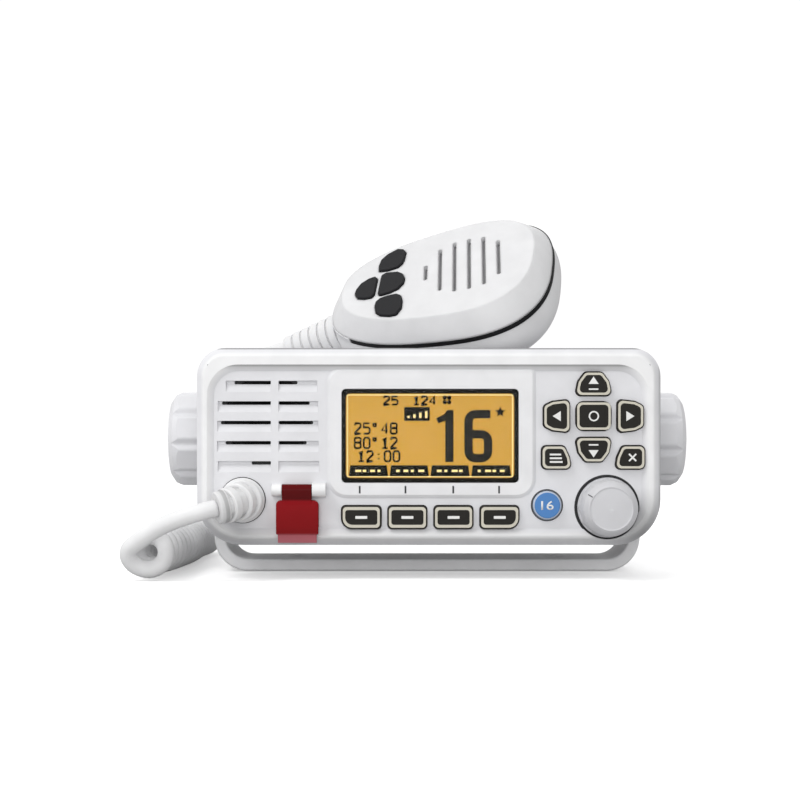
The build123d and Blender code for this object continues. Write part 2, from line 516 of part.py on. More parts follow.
# ================================================================== rear connections
Y1 = Y_BACK - 12.0
ANT = (27.0, 30.0)
a = cyl((ANT[0], Y1 - 4.0, ANT[1]), (0, 1, 0), 7.9, 6.0) + cyl((ANT[0], Y1 + 2.0, ANT[1]), (0, 1, 0), 7.95, 13.6)
a -= cyl((ANT[0], Y1 - 5.0, ANT[1]), (0, 1, 0), 6.0, 30)
for i in range(6):
    y = Y1 + 6.4 + i * 1.5
    a -= cyl((ANT[0], y, ANT[1]), (0, 1, 0), 9, 0.6) - cyl((ANT[0], y - 1, ANT[1]), (0, 1, 0), 7.5, 3)
save("antenna_socket", a)
ac = cyl((ANT[0], Y1 - 3.5, ANT[1]), (0, 1, 0), 6.0, 13.0) - cyl((ANT[0], Y1 + 1.0, ANT[1]), (0, 1, 0), 2.0, 20)
save("antenna_contact", ac)
PWR = (53.0, 30.0)
g = cyl((PWR[0], Y1 - 4.0, PWR[1]), (0, 1, 0), 6.3, 6.0) + cyl((PWR[0], Y1 + 2.0, PWR[1]), (0, 1, 0), 6.35, 4.5)
g += cone((PWR[0], Y1 + 6.4, PWR[1]), (0, 1, 0), 6.0, 4.6, 6.0)
g -= cyl((PWR[0], Y1 - 5.0, PWR[1]), (0, 1, 0), 2.6, 30)
save("power_lead_gland", g)

# ================================================================== cord route
# boot on the panel, bending from the panel's normal to the left
T0 = Vector(-70.2, -56.6, 24.4)
T0D = Vector(-10.0, -4.4, -2.2).normalized()
B0 = Vector(BOOT_C[0], Y_FLOOR, BOOT_C[1])


def turned(p, d, r, h, e=0.5):
    """disc starting at p along d with bevelled rims"""
    pl = Plane(origin=tuple(p), z_dir=tuple(d))
    prof = Polyline((0, 0), (r - e, 0), (r, e), (r, h - e), (r - e, h), (0, h), close=True)
    return pl * revolve(Plane.XZ * make_face(prof), axis=Axis.Z)


def boot_panel():
    b = turned(B0, Vector(0, -1, 0), 7.55, 2.0, 0.6)
    b += cyl((B0.X, Y_FLOOR + 5.0, B0.Z), (0, -1, 0), 4.5, 6.0)
    b += cyl((B0.X, Y_WALL + 2.2, B0.Z), (0, -1, 0), 6.0, 2.1)
    # stack of tapering collars along the bend
    P0 = Vector(B0.X, Y_FLOOR - 1.0, B0.Z)
    D0 = Vector(0, -1, 0)
    L = (T0 - P0).length

    def pt(t):      # cubic Hermite centre line
        h00, h10, h01, h11 = 2*t**3-3*t**2+1, t**3-2*t**2+t, -2*t**3+3*t**2, t**3-t**2
        return P0*h00 + D0*(L*h10) + T0*h01 + T0D*(L*h11)

    def tg(t):
        e = 1e-3
        return (pt(min(1, t+e)) - pt(max(0, t-e))).normalized()
    rad = [6.9, 5.4, 6.4, 5.1, 5.9, 4.8, 5.4]
    ts = [0.0, 0.17, 0.33, 0.5, 0.66, 0.82, 1.0]
    n = len(ts)
    for i in range(n):
        t = ts[i]
        thick = 3.2 if i < n - 1 else 3.6
        c, d = pt(t), tg(t)
        s = c - d * (thick * (0.5 if 0 < i < n - 1 else (0.0 if i == 0 else 1.0)))
        b = b + turned(s, d, rad[i], thick, 0.45 if i % 2 == 0 or i == n - 1 else 0.2)
    return b


bp = boot_panel()
save("cord_boot_panel", bp)

ROUTE_FRONT = [                       # lead from the panel boot to the coil
    (T0.X, T0.Y, T0.Z), (-80.2, -61.0, 22.2), (-90.6, -61.6, 18.9), (-97.6, -55.0, 13.0),
    (-98.6, -45.5, 8.8)]
ROUTE_COIL = [                        # axis of the coil from its front end to the joint J
    (-94.2, -48.0, 8.2), (-92.4, -20.0, 8.2), (-90.2, 12.0, 8.2), (-89.8, 42.0, 8.2),
    (-88.0, 69.4, 8.2), (-86.8, 82.7, 14.6), (-85.6, 91.9, 26.2), (-84.95, 93.55, 33.4)]
ROUTE_COIL_UP = [                     # coil above J, rising behind the case
    (-84.95, 93.55, 33.4), (-84.3, 95.2, 40.6), (-82.8, 91.9, 55.0), (-82.4, 89.6, 57.9)]
# tip of the microphone boot, in the frame of the radio
MIC_C = Vector(5.51, 4.05, 101.15)
MU = Vector(0.93504492, -0.30741145, 0.17660464)
MW = Vector(-0.33474698, -0.60146358, 0.72538681)
MP = Plane(origin=MIC_C, x_dir=MU, z_dir=MW)
BOOT_U, BOOT_V, BOOT_W = -43.0, -0.3, -8.4
BOOT_D = Vector(-21.9, -0.2, -2.1).normalized()
BOOT_L = 23.1
_tip = Vector(BOOT_U, BOOT_V, BOOT_W) + BOOT_D * (BOOT_L + 0.05)
MV = MW.cross(MU)
MIC_T = MIC_C + MU * _tip.X + MV * _tip.Y + MW * _tip.Z
MIC_D = (MU * BOOT_D.X + MV * BOOT_D.Y + MW * BOOT_D.Z).normalized()
MIC_P = MIC_T + MIC_D * 13.0
ROUTE_MIC = [                         # lead from the coil over the case edge to the microphone
    (-82.9, 93.0, 52.6), (-81.3, 82.7, 66.6), (-79.8, 69.4, 73.0), (-77.6, 57.0, 73.3),
    (-73.4, 45.2, 74.6), (MIC_P.X, MIC_P.Y, MIC_P.Z), (MIC_T.X, MIC_T.Y, MIC_T.Z)]
print("mic tip", MIC_T, "next", MIC_P)


def tube(route, d, label, limp=False):
    pts = [Vector(*p) for p in route]
    runs = [(pts[i+1]-pts[i]).length for i in range(len(pts)-1)]
    radii = []
    for i in range(1, len(pts)-1):
        turn = (pts[i]-pts[i-1]).get_angle(pts[i+1]-pts[i])
        before = runs[i-1]*(0.9 if i == 1 else 0.45)
        after = runs[i]*(0.9 if i == len(pts)-2 else 0.45)
        radii.append(min(before, after)/math.tan(math.radians(turn)/2))
    path = FilletPolyline(*pts, radius=radii) if len(pts) > 2 else Line(*pts)
    sec = Plane(origin=pts[0], z_dir=(pts[1]-pts[0]).normalized()) * Circle(d/2)
    t = sweep(sec, path=path)
    vol = path.length*math.pi*d*d/4
    print(label, "runs", [round(r, 1) for r in runs], "radii", [round(r, 1) for r in radii],
          "length", round(path.length, 1), "volume/section*length", round(t.volume/vol, 4))
    return t


save("cord_lead_front", tube(ROUTE_FRONT, CORD_D, "front lead"))
save("curly_cord", tube(ROUTE_COIL, COIL_D, "coil"))
save("curly_cord_upper", tube(ROUTE_COIL_UP, COIL_D, "upper coil"))
save("cord_lead_mic", tube(ROUTE_MIC, CORD_D, "microphone lead"))

# ================================================================== microphone
# own frame: u along the body towards the crown, v across, w out of the face
MA, MB, MK, MN = 42.5, 31.4, 0.235, 2.54     # half length, half width, taper, squareness
W_FACE, W_BACK = 9.2, -20.0
SH_T = 2.1                                    # shell wall
GAS_H = 0.8                                   # half height of the rubber band between the shells


def egg(w, inset, far=0.0, tail=0.0, m=30):
    """outline at height w; far draws in the far long side, tail the cord end"""
    pts = []
    for i in range(m):
        t = 2 * math.pi * i / m
        c, s_ = math.cos(t), math.sin(t)
        r = (abs(c) ** MN + abs(s_) ** MN) ** (-1 / MN)
        uu = (MA - inset) * r * c
        vv = (MB - inset) * r * s_ * (1 + MK * uu / MA)
        if vv > 0:
            vv *= 1 - far
        if uu < 0:
            uu *= 1 - tail * (-uu / MA)
        pts.append((uu, vv, w))
    return make_face(Wire([Edge.make_spline([Vector(*p) for p in pts], periodic=True)]))


def egg_loft(levels):
    return loft([egg(*lv) for lv in levels])


def loc(shape):
    return shape.moved(MP.location)


OUT_F = [(GAS_H, 0.0), (3.0, 0.8, 0.045, 0.02), (5.9, 2.3, 0.085, 0.045), (W_FACE, 4.4, 0.115, 0.07)]
OUT_R = [(-GAS_H, 0.0), (-4.0, -0.6), (-8.0, -0.6), (-12.0, 0.9), (-15.0, 3.2), (-18.0, 6.6), (W_BACK, 9.8)]
front_solid = egg_loft(OUT_F)
front_cav = egg_loft([(GAS_H - 0.05, SH_T), (3.0, SH_T + 0.8, 0.045, 0.02), (5.9, SH_T + 2.5, 0.085, 0.045),
                      (W_FACE - SH_T, SH_T + 4.0, 0.1, 0.055)])
rear_solid = egg_loft(OUT_R)
rear_cav = egg_loft([(-GAS_H + 0.05, SH_T), (-4.0, SH_T - 0.4), (-8.0, SH_T - 0.3), (-12.0, SH_T + 1.3),
                     (-15.0, SH_T + 3.8), (W_BACK + SH_T, SH_T + 7.6)])
SLOTS = [(-3.0, 4.5), (2.56, 13.0), (8.12, 15.4), (13.68, 15.7), (19.24, 14.9), (24.8, 10.6)]
MK_PTS = {
    "mic_key_up": [(-22.7, 8.6), (-23.1, 12.0), (-22.6, 15.6), (-20.4, 18.4), (-16.4, 20.6), (-13.8, 19.4),
                   (-12.8, 17.4), (-12.9, 12.8), (-13.4, 10.4), (-15.0, 8.5), (-19.0, 7.9)],
    "mic_key_left": [(-30.6, -2.7), (-30.4, -0.2), (-28.9, 3.1), (-25.9, 5.2), (-23.3, 5.7), (-22.3, 4.0),
                     (-22.3, -5.6), (-23.3, -7.2), (-26.3, -7.0), (-29.0, -5.9)],
    "mic_key_right": [(-21.2, 5.4), (-19.2, 6.6), (-14.6, 5.7), (-12.4, 3.8), (-11.3, 0.6), (-11.4, -2.5),
                      (-13.1, -5.1), (-16.3, -6.6), (-19.9, -7.0), (-21.2, -5.6)],
    "mic_key_down": [(-21.4, -13.1), (-21.3, -10.6), (-19.8, -8.8), (-17.2, -8.2), (-13.4, -8.1), (-11.5, -9.6),
                     (-10.6, -13.1), (-10.4, -17.6), (-11.9, -21.0), (-14.6, -20.9), (-18.4, -19.4), (-20.4, -17.0)],
}
MK_DU, MK_DV = 0.5, -1.7                       # place of the key group on the face
mkf = {k: offset(offset(make_face(Polyline(*[(a + MK_DU, b + MK_DV) for a, b in v], close=True)), amount=-0.9),
                 amount=0.75) for k, v in MK_PTS.items()}


def w_prism(face, w0, w1):
    return extrude(Plane(origin=(0, 0, w0)) * face, amount=w1 - w0)


fs = front_solid - front_cav
# rim inside the cavity mouth stays clear of the gasket
for (su, hl) in SLOTS:
    fs -= w_prism(Pos(su, 0) * Rot(0, 0, 5.35) * RectangleRounded(1.4, 2 * hl, 0.6), W_FACE - SH_T - 1.5, W_FACE + 1)
for k, f in mkf.items():
    fs -= w_prism(offset(f, amount=0.22), W_FACE - SH_T - 1.5, W_FACE + 1)
    fs -= w_prism(offset(f, amount=0.8), W_FACE - SH_T - 1.5, W_FACE - SH_T)
# screw pillars hang from the face
PILLARS = [(-31.5, 9.0), (-32.5, -10.0), (30.0, 17.0), (30.0, -18.0)]
for pu, pv in PILLARS:
    fs += w_prism(Pos(pu, pv) * Circle(2.6), 1.2, W_FACE - SH_T + 0.4)
    fs -= w_prism(Pos(pu, pv) * Circle(1.15), 0.0, W_FACE - SH_T - 0.8)


def boot_socket(r, extra=0.0):
    b0 = Vector(BOOT_U, BOOT_V, BOOT_W) - BOOT_D * 9.0
    return cyl(tuple(b0), tuple(BOOT_D), r, 9.0 + 6.0 + extra)


rs = rear_solid - rear_cav
for pu, pv in PILLARS:
    rs += (w_prism(Pos(pu, pv) * Circle(3.6), W_BACK + 2.0, -0.9) & rear_solid)
    rs -= w_prism(Pos(pu, pv) * Circle(1.45), W_BACK - 1, 0)
    rs -= w_prism(Pos(pu, pv) * Circle(2.6), W_BACK - 1, -9.5)
rs -= boot_socket(5.0)
rs -= w_prism(Pos(-30, BOOT_V) * Rectangle(18, 9.8), -10.5, -0.4) & Pos(-36, 0, -6) * Box(14, 30, 14)
# push-to-talk pocket in the far long side
PTT_U0, PTT_U1, PTT_W0, PTT_W1 = -21.0, 13.0, -11.0, -2.6
rs -= bx(PTT_U0, PTT_U1, 17.5, 45, PTT_W0, PTT_W1)
rs = rs.solids().sort_by(SortBy.VOLUME)[-1]
fs = fs.solids().sort_by(SortBy.VOLUME)[-1]
save("mic_front_shell", loc(fs))
save("mic_rear_shell", loc(rs))
gk = w_prism(egg(0, -0.3), -GAS_H, GAS_H) - w_prism(egg(0, 2.0), -1, 1)
save("mic_gasket", loc(gk))
# keys of the microphone: caps with a flange under the face, 0.6 travel
for k, f in mkf.items():
    cap = w_prism(f, W_FACE - SH_T - 0.02, W_FACE + 0.9)
    cap = fillet(cap.faces().sort_by(Axis.Z)[-1].edges(), 0.4)
    fl = w_prism(offset(f, amount=0.5), W_FACE - SH_T - 0.7, W_FACE - SH_T - 0.02)
    save(k, loc(cap + fl))
mbd = w_prism(RectangleRounded(50, 30, 3), 1.6, 3.2)
mbd = Pos(-2.2, 0, 0) * mbd
mbd = mbd + bx(-20, -8, -5, 7, 0.2, 1.7) + bx(14, 22, -8, 2, 3.1, 4.4)
save("mic_board", loc(mbd))
save("mic_capsule", loc(w_prism(Pos(8.5, 0) * Circle(5.0), 3.25, W_FACE - SH_T - 0.15)))


def mic_boot():
    b0 = Vector(BOOT_U, BOOT_V, BOOT_W)
    d = BOOT_D
    L = BOOT_L
    r0, r1 = 7.2, 4.2
    b = cyl(tuple(b0 - d * 9.0), tuple(d), 4.9, 9.1)
    b += cone(tuple(b0 - d * 0.2), tuple(d), r0 - 0.9, r1 - 0.5, L + 0.2)
    n = 6
    for i in range(n):
        t0 = i / n
        c = b0 + d * (L * t0)
        r = r0 + (r1 - r0) * (t0 + 0.5 / n)
        b += cyl(tuple(c), tuple(d), r, L / n * 0.74)
    b += cyl(tuple(b0 + d * (L - 1.2)), tuple(d), r1 - 0.25, 1.2)
    return b


mb_ = mic_boot() - rear_solid
mb_ += cyl(tuple(Vector(BOOT_U, BOOT_V, BOOT_W) - BOOT_D * 9.0), tuple(BOOT_D), 4.9, 14.0) & rear_solid
mb_ = mb_.solids().sort_by(SortBy.VOLUME)[-1] if len(mb_.solids()) > 1 else mb_
save("mic_boot", loc(mb_))
HB = (-8.0, -3.0)
hb = w_prism(Pos(*HB) * Circle(4.2), W_BACK - 7.4, W_BACK) + w_prism(Pos(*HB) * Circle(7.5), W_BACK - 10.4, W_BACK - 7.0)
hb = fillet(hb.faces().sort_by(Axis.Z)[0].edges(), 0.8)
save("mic_hanger_button", loc(hb))
ms = []
for pu, pv in PILLARS:
    ms.append(w_prism(Pos(pu, pv) * Circle(1.1), -9.7, 5.5) + w_prism(Pos(pu, pv) * Circle(2.2), -11.2, -9.5)
              - w_prism(Pos(pu, pv) * RectangleRounded(3.2, 0.6, 0.1), -12, -10.6))
save("mic_screws", Compound(children=[loc(x) for x in ms]))
paddle_env = loft([egg(PTT_W0 + 0.2, -2.4), egg(-7.0, -3.0), egg(PTT_W1 - 0.2, -2.0)])
paddle = bx(PTT_U0 + 0.3, PTT_U1 - 0.3, 19.8, 50, PTT_W0 + 0.3, PTT_W1 - 0.3) & paddle_env
paddle = paddle.solids().sort_by(SortBy.VOLUME)[-1]
save("ptt_paddle", loc(paddle))

tot = sum(1 for _ in NODES)
print("nodes", tot)
zmin = {k: round(NODES[k].bounding_box().min.Z, 2) for k in NODES if k.startswith("mic") or k == "ptt_paddle"}
print(zmin)
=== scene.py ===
import math
import bpy
import bmesh
import numpy as np
from mathutils import Vector, Matrix


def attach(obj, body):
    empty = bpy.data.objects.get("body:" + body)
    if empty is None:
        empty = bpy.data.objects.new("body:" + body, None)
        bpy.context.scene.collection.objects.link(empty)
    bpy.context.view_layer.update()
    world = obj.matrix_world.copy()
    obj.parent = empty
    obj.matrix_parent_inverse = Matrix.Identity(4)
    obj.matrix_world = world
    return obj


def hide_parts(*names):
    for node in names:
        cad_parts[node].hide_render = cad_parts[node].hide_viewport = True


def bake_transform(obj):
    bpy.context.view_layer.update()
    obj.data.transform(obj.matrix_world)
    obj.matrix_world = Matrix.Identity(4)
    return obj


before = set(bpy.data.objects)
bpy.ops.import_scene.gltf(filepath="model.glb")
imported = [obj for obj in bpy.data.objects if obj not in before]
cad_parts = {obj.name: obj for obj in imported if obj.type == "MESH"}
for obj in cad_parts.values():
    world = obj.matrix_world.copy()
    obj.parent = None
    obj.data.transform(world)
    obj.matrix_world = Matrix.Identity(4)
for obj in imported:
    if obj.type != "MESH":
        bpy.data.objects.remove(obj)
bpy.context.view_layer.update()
MM = 0.001
COL = bpy.context.scene.collection

# ------------------------------------------------------------------ camera
cd = bpy.data.cameras.new("camera")
cd.sensor_width = 36.0
cd.lens = 72.99
cd.shift_y = 0.0365
cd.clip_start = 0.01
cam = bpy.data.objects.new("camera", cd)
cam.location = (-0.00969, -0.591, 0.0504)
cam.rotation_euler = (math.pi / 2, 0, 0)
COL.objects.link(cam)
bpy.context.scene.camera = cam
bpy.context.scene.view_settings.view_transform = "Standard"


# ------------------------------------------------------------------ small mesh helpers
def add_mesh(name, verts, faces, mat, body, smooth=False, replaces=()):
    me = bpy.data.meshes.new(name)
    me.from_pydata([tuple(v) for v in verts], [], faces)
    me.validate()
    bm = bmesh.new()
    bm.from_mesh(me)
    bmesh.ops.recalc_face_normals(bm, faces=bm.faces)
    bm.to_mesh(me)
    bm.free()
    if smooth:
        me.polygons.foreach_set("use_smooth", [True] * len(me.polygons))
    me.materials.append(mat)
    o = bpy.data.objects.new(name, me)
    COL.objects.link(o)
    if body:
        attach(o, body)
    if replaces:
        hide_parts(*replaces)
    return o


def rounded(pts, radii, n=7):
    """polygon corners rounded with arcs"""
    out = []
    m = len(pts)
    if not isinstance(radii, (list, tuple)):
        radii = [radii] * m
    for i in range(m):
        p = Vector(pts[i]); a = Vector(pts[i - 1]); b = Vector(pts[(i + 1) % m])
        u = (a - p).normalized(); v = (b - p).normalized()
        ang = u.angle(v)
        r = radii[i]
        t = min(r / math.tan(ang / 2), 0.49 * min((a - p).length, (b - p).length))
        r = t * math.tan(ang / 2)
        if r < 1e-4:
            out.append(p)
            continue
        c = p + (u + v).normalized() * (r / math.sin(ang / 2))
        s = p + u * t - c
        e = p + v * t - c
        tot = s.angle_signed(e) if hasattr(s, "angle_signed") else 0
        for k in range(n + 1):
            w = k / n
            q = Matrix.Rotation(-tot * w, 2) @ s
            out.append(c + q)
    return [(q.x, q.y) for q in out]


def rect(x0, x1, z0, z1, r=0.0, n=7):
    pts = [(x0, z0), (x1, z0), (x1, z1), (x0, z1)]
    return rounded(pts, r, n) if r else pts


def inset(pts, d):
    """convex polygon moved inwards by d"""
    m = len(pts)
    area = sum(pts[i][0] * pts[(i + 1) % m][1] - pts[(i + 1) % m][0] * pts[i][1] for i in range(m))
    s = 1 if area > 0 else -1
    lines = []
    for i in range(m):
        a = Vector(pts[i]); b = Vector(pts[(i + 1) % m])
        t = (b - a).normalized()
        nrm = Vector((-t.y, t.x)) * s
        lines.append((a + nrm * d, t))
    out = []
    for i in range(m):
        p, t = lines[i - 1]
        q, u = lines[i]
        den = t.x * u.y - t.y * u.x
        k = ((q.x - p.x) * u.y - (q.y - p.y) * u.x) / den
        out.append(tuple(p + t * k))
    return out


def plate(name, pts, y_back, y_front, mat, body, bevel=0.0, holes=()):
    """flat piece facing the front; pts are (X, Z) in mm, bevelled round its front edge"""
    m = len(pts)
    verts, faces = [], []
    for y in (y_back, y_front + bevel):
        verts += [(x * MM, y * MM, z * MM) for x, z in pts]
    ring = pts
    if bevel:
        c = Vector((sum(p[0] for p in pts) / m, sum(p[1] for p in pts) / m))
        nxt = []
        for i, p in enumerate(pts):
            a = Vector(pts[i - 1]); b = Vector(pts[(i + 1) % m])
            t = (b - a).normalized()
            nn = Vector((-t.y, t.x))
            if nn.dot(c - Vector(p)) < 0:
                nn = -nn
            nxt.append(tuple(Vector(p) + nn * bevel))
        verts += [(x * MM, y_front * MM, z * MM) for x, z in nxt]
    layers = 3 if bevel else 2
    for k in range(layers - 1):
        for i in range(m):
            j = (i + 1) % m
            faces.append((k * m + i, k * m + j, (k + 1) * m + j, (k + 1) * m + i))
    faces.append(tuple(range(m)))
    faces.append(tuple((layers - 1) * m + i for i in range(m)))
    return add_mesh(name, verts, faces, mat, body)


def frame_plate(name, outer, inner, y_back, y_front, mat, body):
    """flat ring between two outlines with the same number of points"""
    m = len(outer)
    verts = []
    for pts in (outer, inner):
        for y in (y_back, y_front):
            verts += [(x * MM, y * MM, z * MM) for x, z in pts]
    faces = []
    for i in range(m):
        j = (i + 1) % m
        ob, of_, ib, if_ = 0, m, 2 * m, 3 * m
        faces += [(ob + i, ob + j, of_ + j, of_ + i), (ib + i, if_ + i, if_ + j, ib + j),
                  (of_ + i, of_ + j, if_ + j, if_ + i), (ob + i, ib + i, ib + j, ob + j)]
    return add_mesh(name, verts, faces, mat, body)


def circle(cx, cz, r, n=48):
    return [(cx + r * math.cos(2 * math.pi * i / n), cz + r * math.sin(2 * math.pi * i / n)) for i in range(n)]


# ------------------------------------------------------------------ materials
def material(name, rgb, rough=0.45, *, var=0.04, var_scale=90.0, grain=1400.0, grain_amt=0.12, bump=0.00002,
             metallic=0.0, coat=0.0, coat_rough=0.1, spec=0.5, edge=0.00025, rough_var=0.06, emit=None,
             emit_strength=0.0, trans=0.0, ior=1.46, sss=0.0, alpha=1.0, brushed=None, wear=0.0, recess_shade=None,
             crease_shade=0.0, bands=None):
    m = bpy.data.materials.new(name)
    m.use_nodes = True
    nt = m.node_tree
    N, L = nt.nodes, nt.links
    b = N["Principled BSDF"]
    tc = N.new("ShaderNodeTexCoord")
    n1 = N.new("ShaderNodeTexNoise"); n1.inputs["Scale"].default_value = var_scale
    n1.inputs["Detail"].default_value = 4.0
    L.new(tc.outputs["Object"], n1.inputs["Vector"])
    ramp = N.new("ShaderNodeValToRGB")
    lo = [max(0.0, c * (1 - var)) for c in rgb]
    hi = [min(1.0, c * (1 + var)) for c in rgb]
    ramp.color_ramp.elements[0].position = 0.3
    ramp.color_ramp.elements[1].position = 0.7
    ramp.color_ramp.elements[0].color = (*lo, 1)
    ramp.color_ramp.elements[1].color = (*hi, 1)
    L.new(n1.outputs["Fac"], ramp.inputs["Fac"])
    colour = ramp.outputs["Color"]
    n2 = N.new("ShaderNodeTexNoise"); n2.inputs["Scale"].default_value = grain
    n2.inputs["Detail"].default_value = 3.0
    if brushed:
        mp = N.new("ShaderNodeMapping")
        mp.inputs["Scale"].default_value = brushed
        L.new(tc.outputs["Object"], mp.inputs["Vector"])
        L.new(mp.outputs["Vector"], n2.inputs["Vector"])
    else:
        L.new(tc.outputs["Object"], n2.inputs["Vector"])
    if recess_shade:
        # painted shade by depth in the part's own frame: the colour is multiplied darker, with a faint tint, deeper in
        sep = N.new("ShaderNodeSeparateXYZ")
        L.new(tc.outputs["Object"], sep.inputs["Vector"])
        mr = N.new("ShaderNodeMapRange")
        mr.inputs["From Min"].default_value = recess_shade[0]
        mr.inputs["From Max"].default_value = recess_shade[1]
        L.new(sep.outputs["Y"], mr.inputs["Value"])
        mx = N.new("ShaderNodeMix"); mx.data_type = "RGBA"; mx.blend_type = "MULTIPLY"
        mx.inputs["B"].default_value = (*recess_shade[2], 1)
        L.new(mr.outputs["Result"], mx.inputs["Factor"])
        L.new(colour, mx.inputs["A"])
        colour = mx.outputs["Result"]
    if bands:
        # tones along a line in the part's own frame, used both for two-tone colour and for painted light: (direction,
        # from, to, [(place, rgb), ...])
        vd, b0, b1, stops = bands
        dt_ = N.new("ShaderNodeVectorMath"); dt_.operation = "DOT_PRODUCT"
        dt_.inputs[1].default_value = vd
        L.new(tc.outputs["Object"], dt_.inputs[0])
        mrb = N.new("ShaderNodeMapRange")
        mrb.inputs["From Min"].default_value = b0
        mrb.inputs["From Max"].default_value = b1
        L.new(dt_.outputs["Value"], mrb.inputs["Value"])
        rb = N.new("ShaderNodeValToRGB")
        el = rb.color_ramp.elements
        while len(el) < len(stops):
            el.new(0.5)
        for e_, (pos, col) in zip(el, stops):
            e_.position = pos
            e_.color = (*col, 1)
        L.new(mrb.outputs["Result"], rb.inputs["Fac"])
        mx = N.new("ShaderNodeMix"); mx.data_type = "RGBA"; mx.blend_type = "MULTIPLY"
        mx.inputs["Factor"].default_value = 1.0
        L.new(colour, mx.inputs["A"])
        L.new(rb.outputs["Color"], mx.inputs["B"])
        colour = mx.outputs["Result"]
    # crease_shade darkens concave places found from pointiness, which is painted shade in creases; wear lightens sharp
    # edges
    if wear or crease_shade:
        geo = N.new("ShaderNodeNewGeometry")
        wr = N.new("ShaderNodeValToRGB")
        if wear:
            wr.color_ramp.elements[0].position = 0.52
            wr.color_ramp.elements[1].position = 0.60
            wr.color_ramp.elements[0].color = (0, 0, 0, 1)
            wr.color_ramp.elements[1].color = (wear, wear, wear, 1)
        else:
            wr.color_ramp.elements[0].position = 0.42
            wr.color_ramp.elements[1].position = 0.49
            wr.color_ramp.elements[0].color = (crease_shade, crease_shade, crease_shade, 1)
            wr.color_ramp.elements[1].color = (0, 0, 0, 1)
        L.new(geo.outputs["Pointiness"], wr.inputs["Fac"])
        mx = N.new("ShaderNodeMix"); mx.data_type = "RGBA"
        mx.inputs["B"].default_value = (*( [min(1, c * 1.5 + 0.05) for c in rgb] if wear else [c * 0.55 for c in rgb]), 1)
        L.new(wr.outputs["Color"], mx.inputs["Factor"])
        L.new(colour, mx.inputs["A"])
        colour = mx.outputs["Result"]
    L.new(colour, b.inputs["Base Color"])
    mr2 = N.new("ShaderNodeMapRange")
    mr2.inputs["To Min"].default_value = max(0.02, rough - rough_var)
    mr2.inputs["To Max"].default_value = min(1.0, rough + rough_var)
    L.new(n2.outputs["Fac"], mr2.inputs["Value"])
    L.new(mr2.outputs["Result"], b.inputs["Roughness"])
    bp = N.new("ShaderNodeBump")
    bp.inputs["Strength"].default_value = grain_amt
    bp.inputs["Distance"].default_value = bump
    L.new(n2.outputs["Fac"], bp.inputs["Height"])
    if edge:
        bv = N.new("ShaderNodeBevel")
        bv.samples = 4
        bv.inputs["Radius"].default_value = edge
        L.new(bv.outputs["Normal"], bp.inputs["Normal"])
    L.new(bp.outputs["Normal"], b.inputs["Normal"])
    b.inputs["Metallic"].default_value = metallic
    b.inputs["Specular IOR Level"].default_value = spec
    b.inputs["IOR"].default_value = ior
    if coat:
        b.inputs["Coat Weight"].default_value = coat
        b.inputs["Coat Roughness"].default_value = coat_rough
    if trans:
        b.inputs["Transmission Weight"].default_value = trans
    if sss:
        b.inputs["Subsurface Weight"].default_value = sss
        b.inputs["Subsurface Radius"].default_value = (1.0, 0.9, 0.8)
        b.inputs["Subsurface Scale"].default_value = 0.0012
    if emit:
        b.inputs["Emission Color"].default_value = (*emit, 1)
        b.inputs["Emission Strength"].default_value = emit_strength
    b.inputs["Alpha"].default_value = alpha
    return m
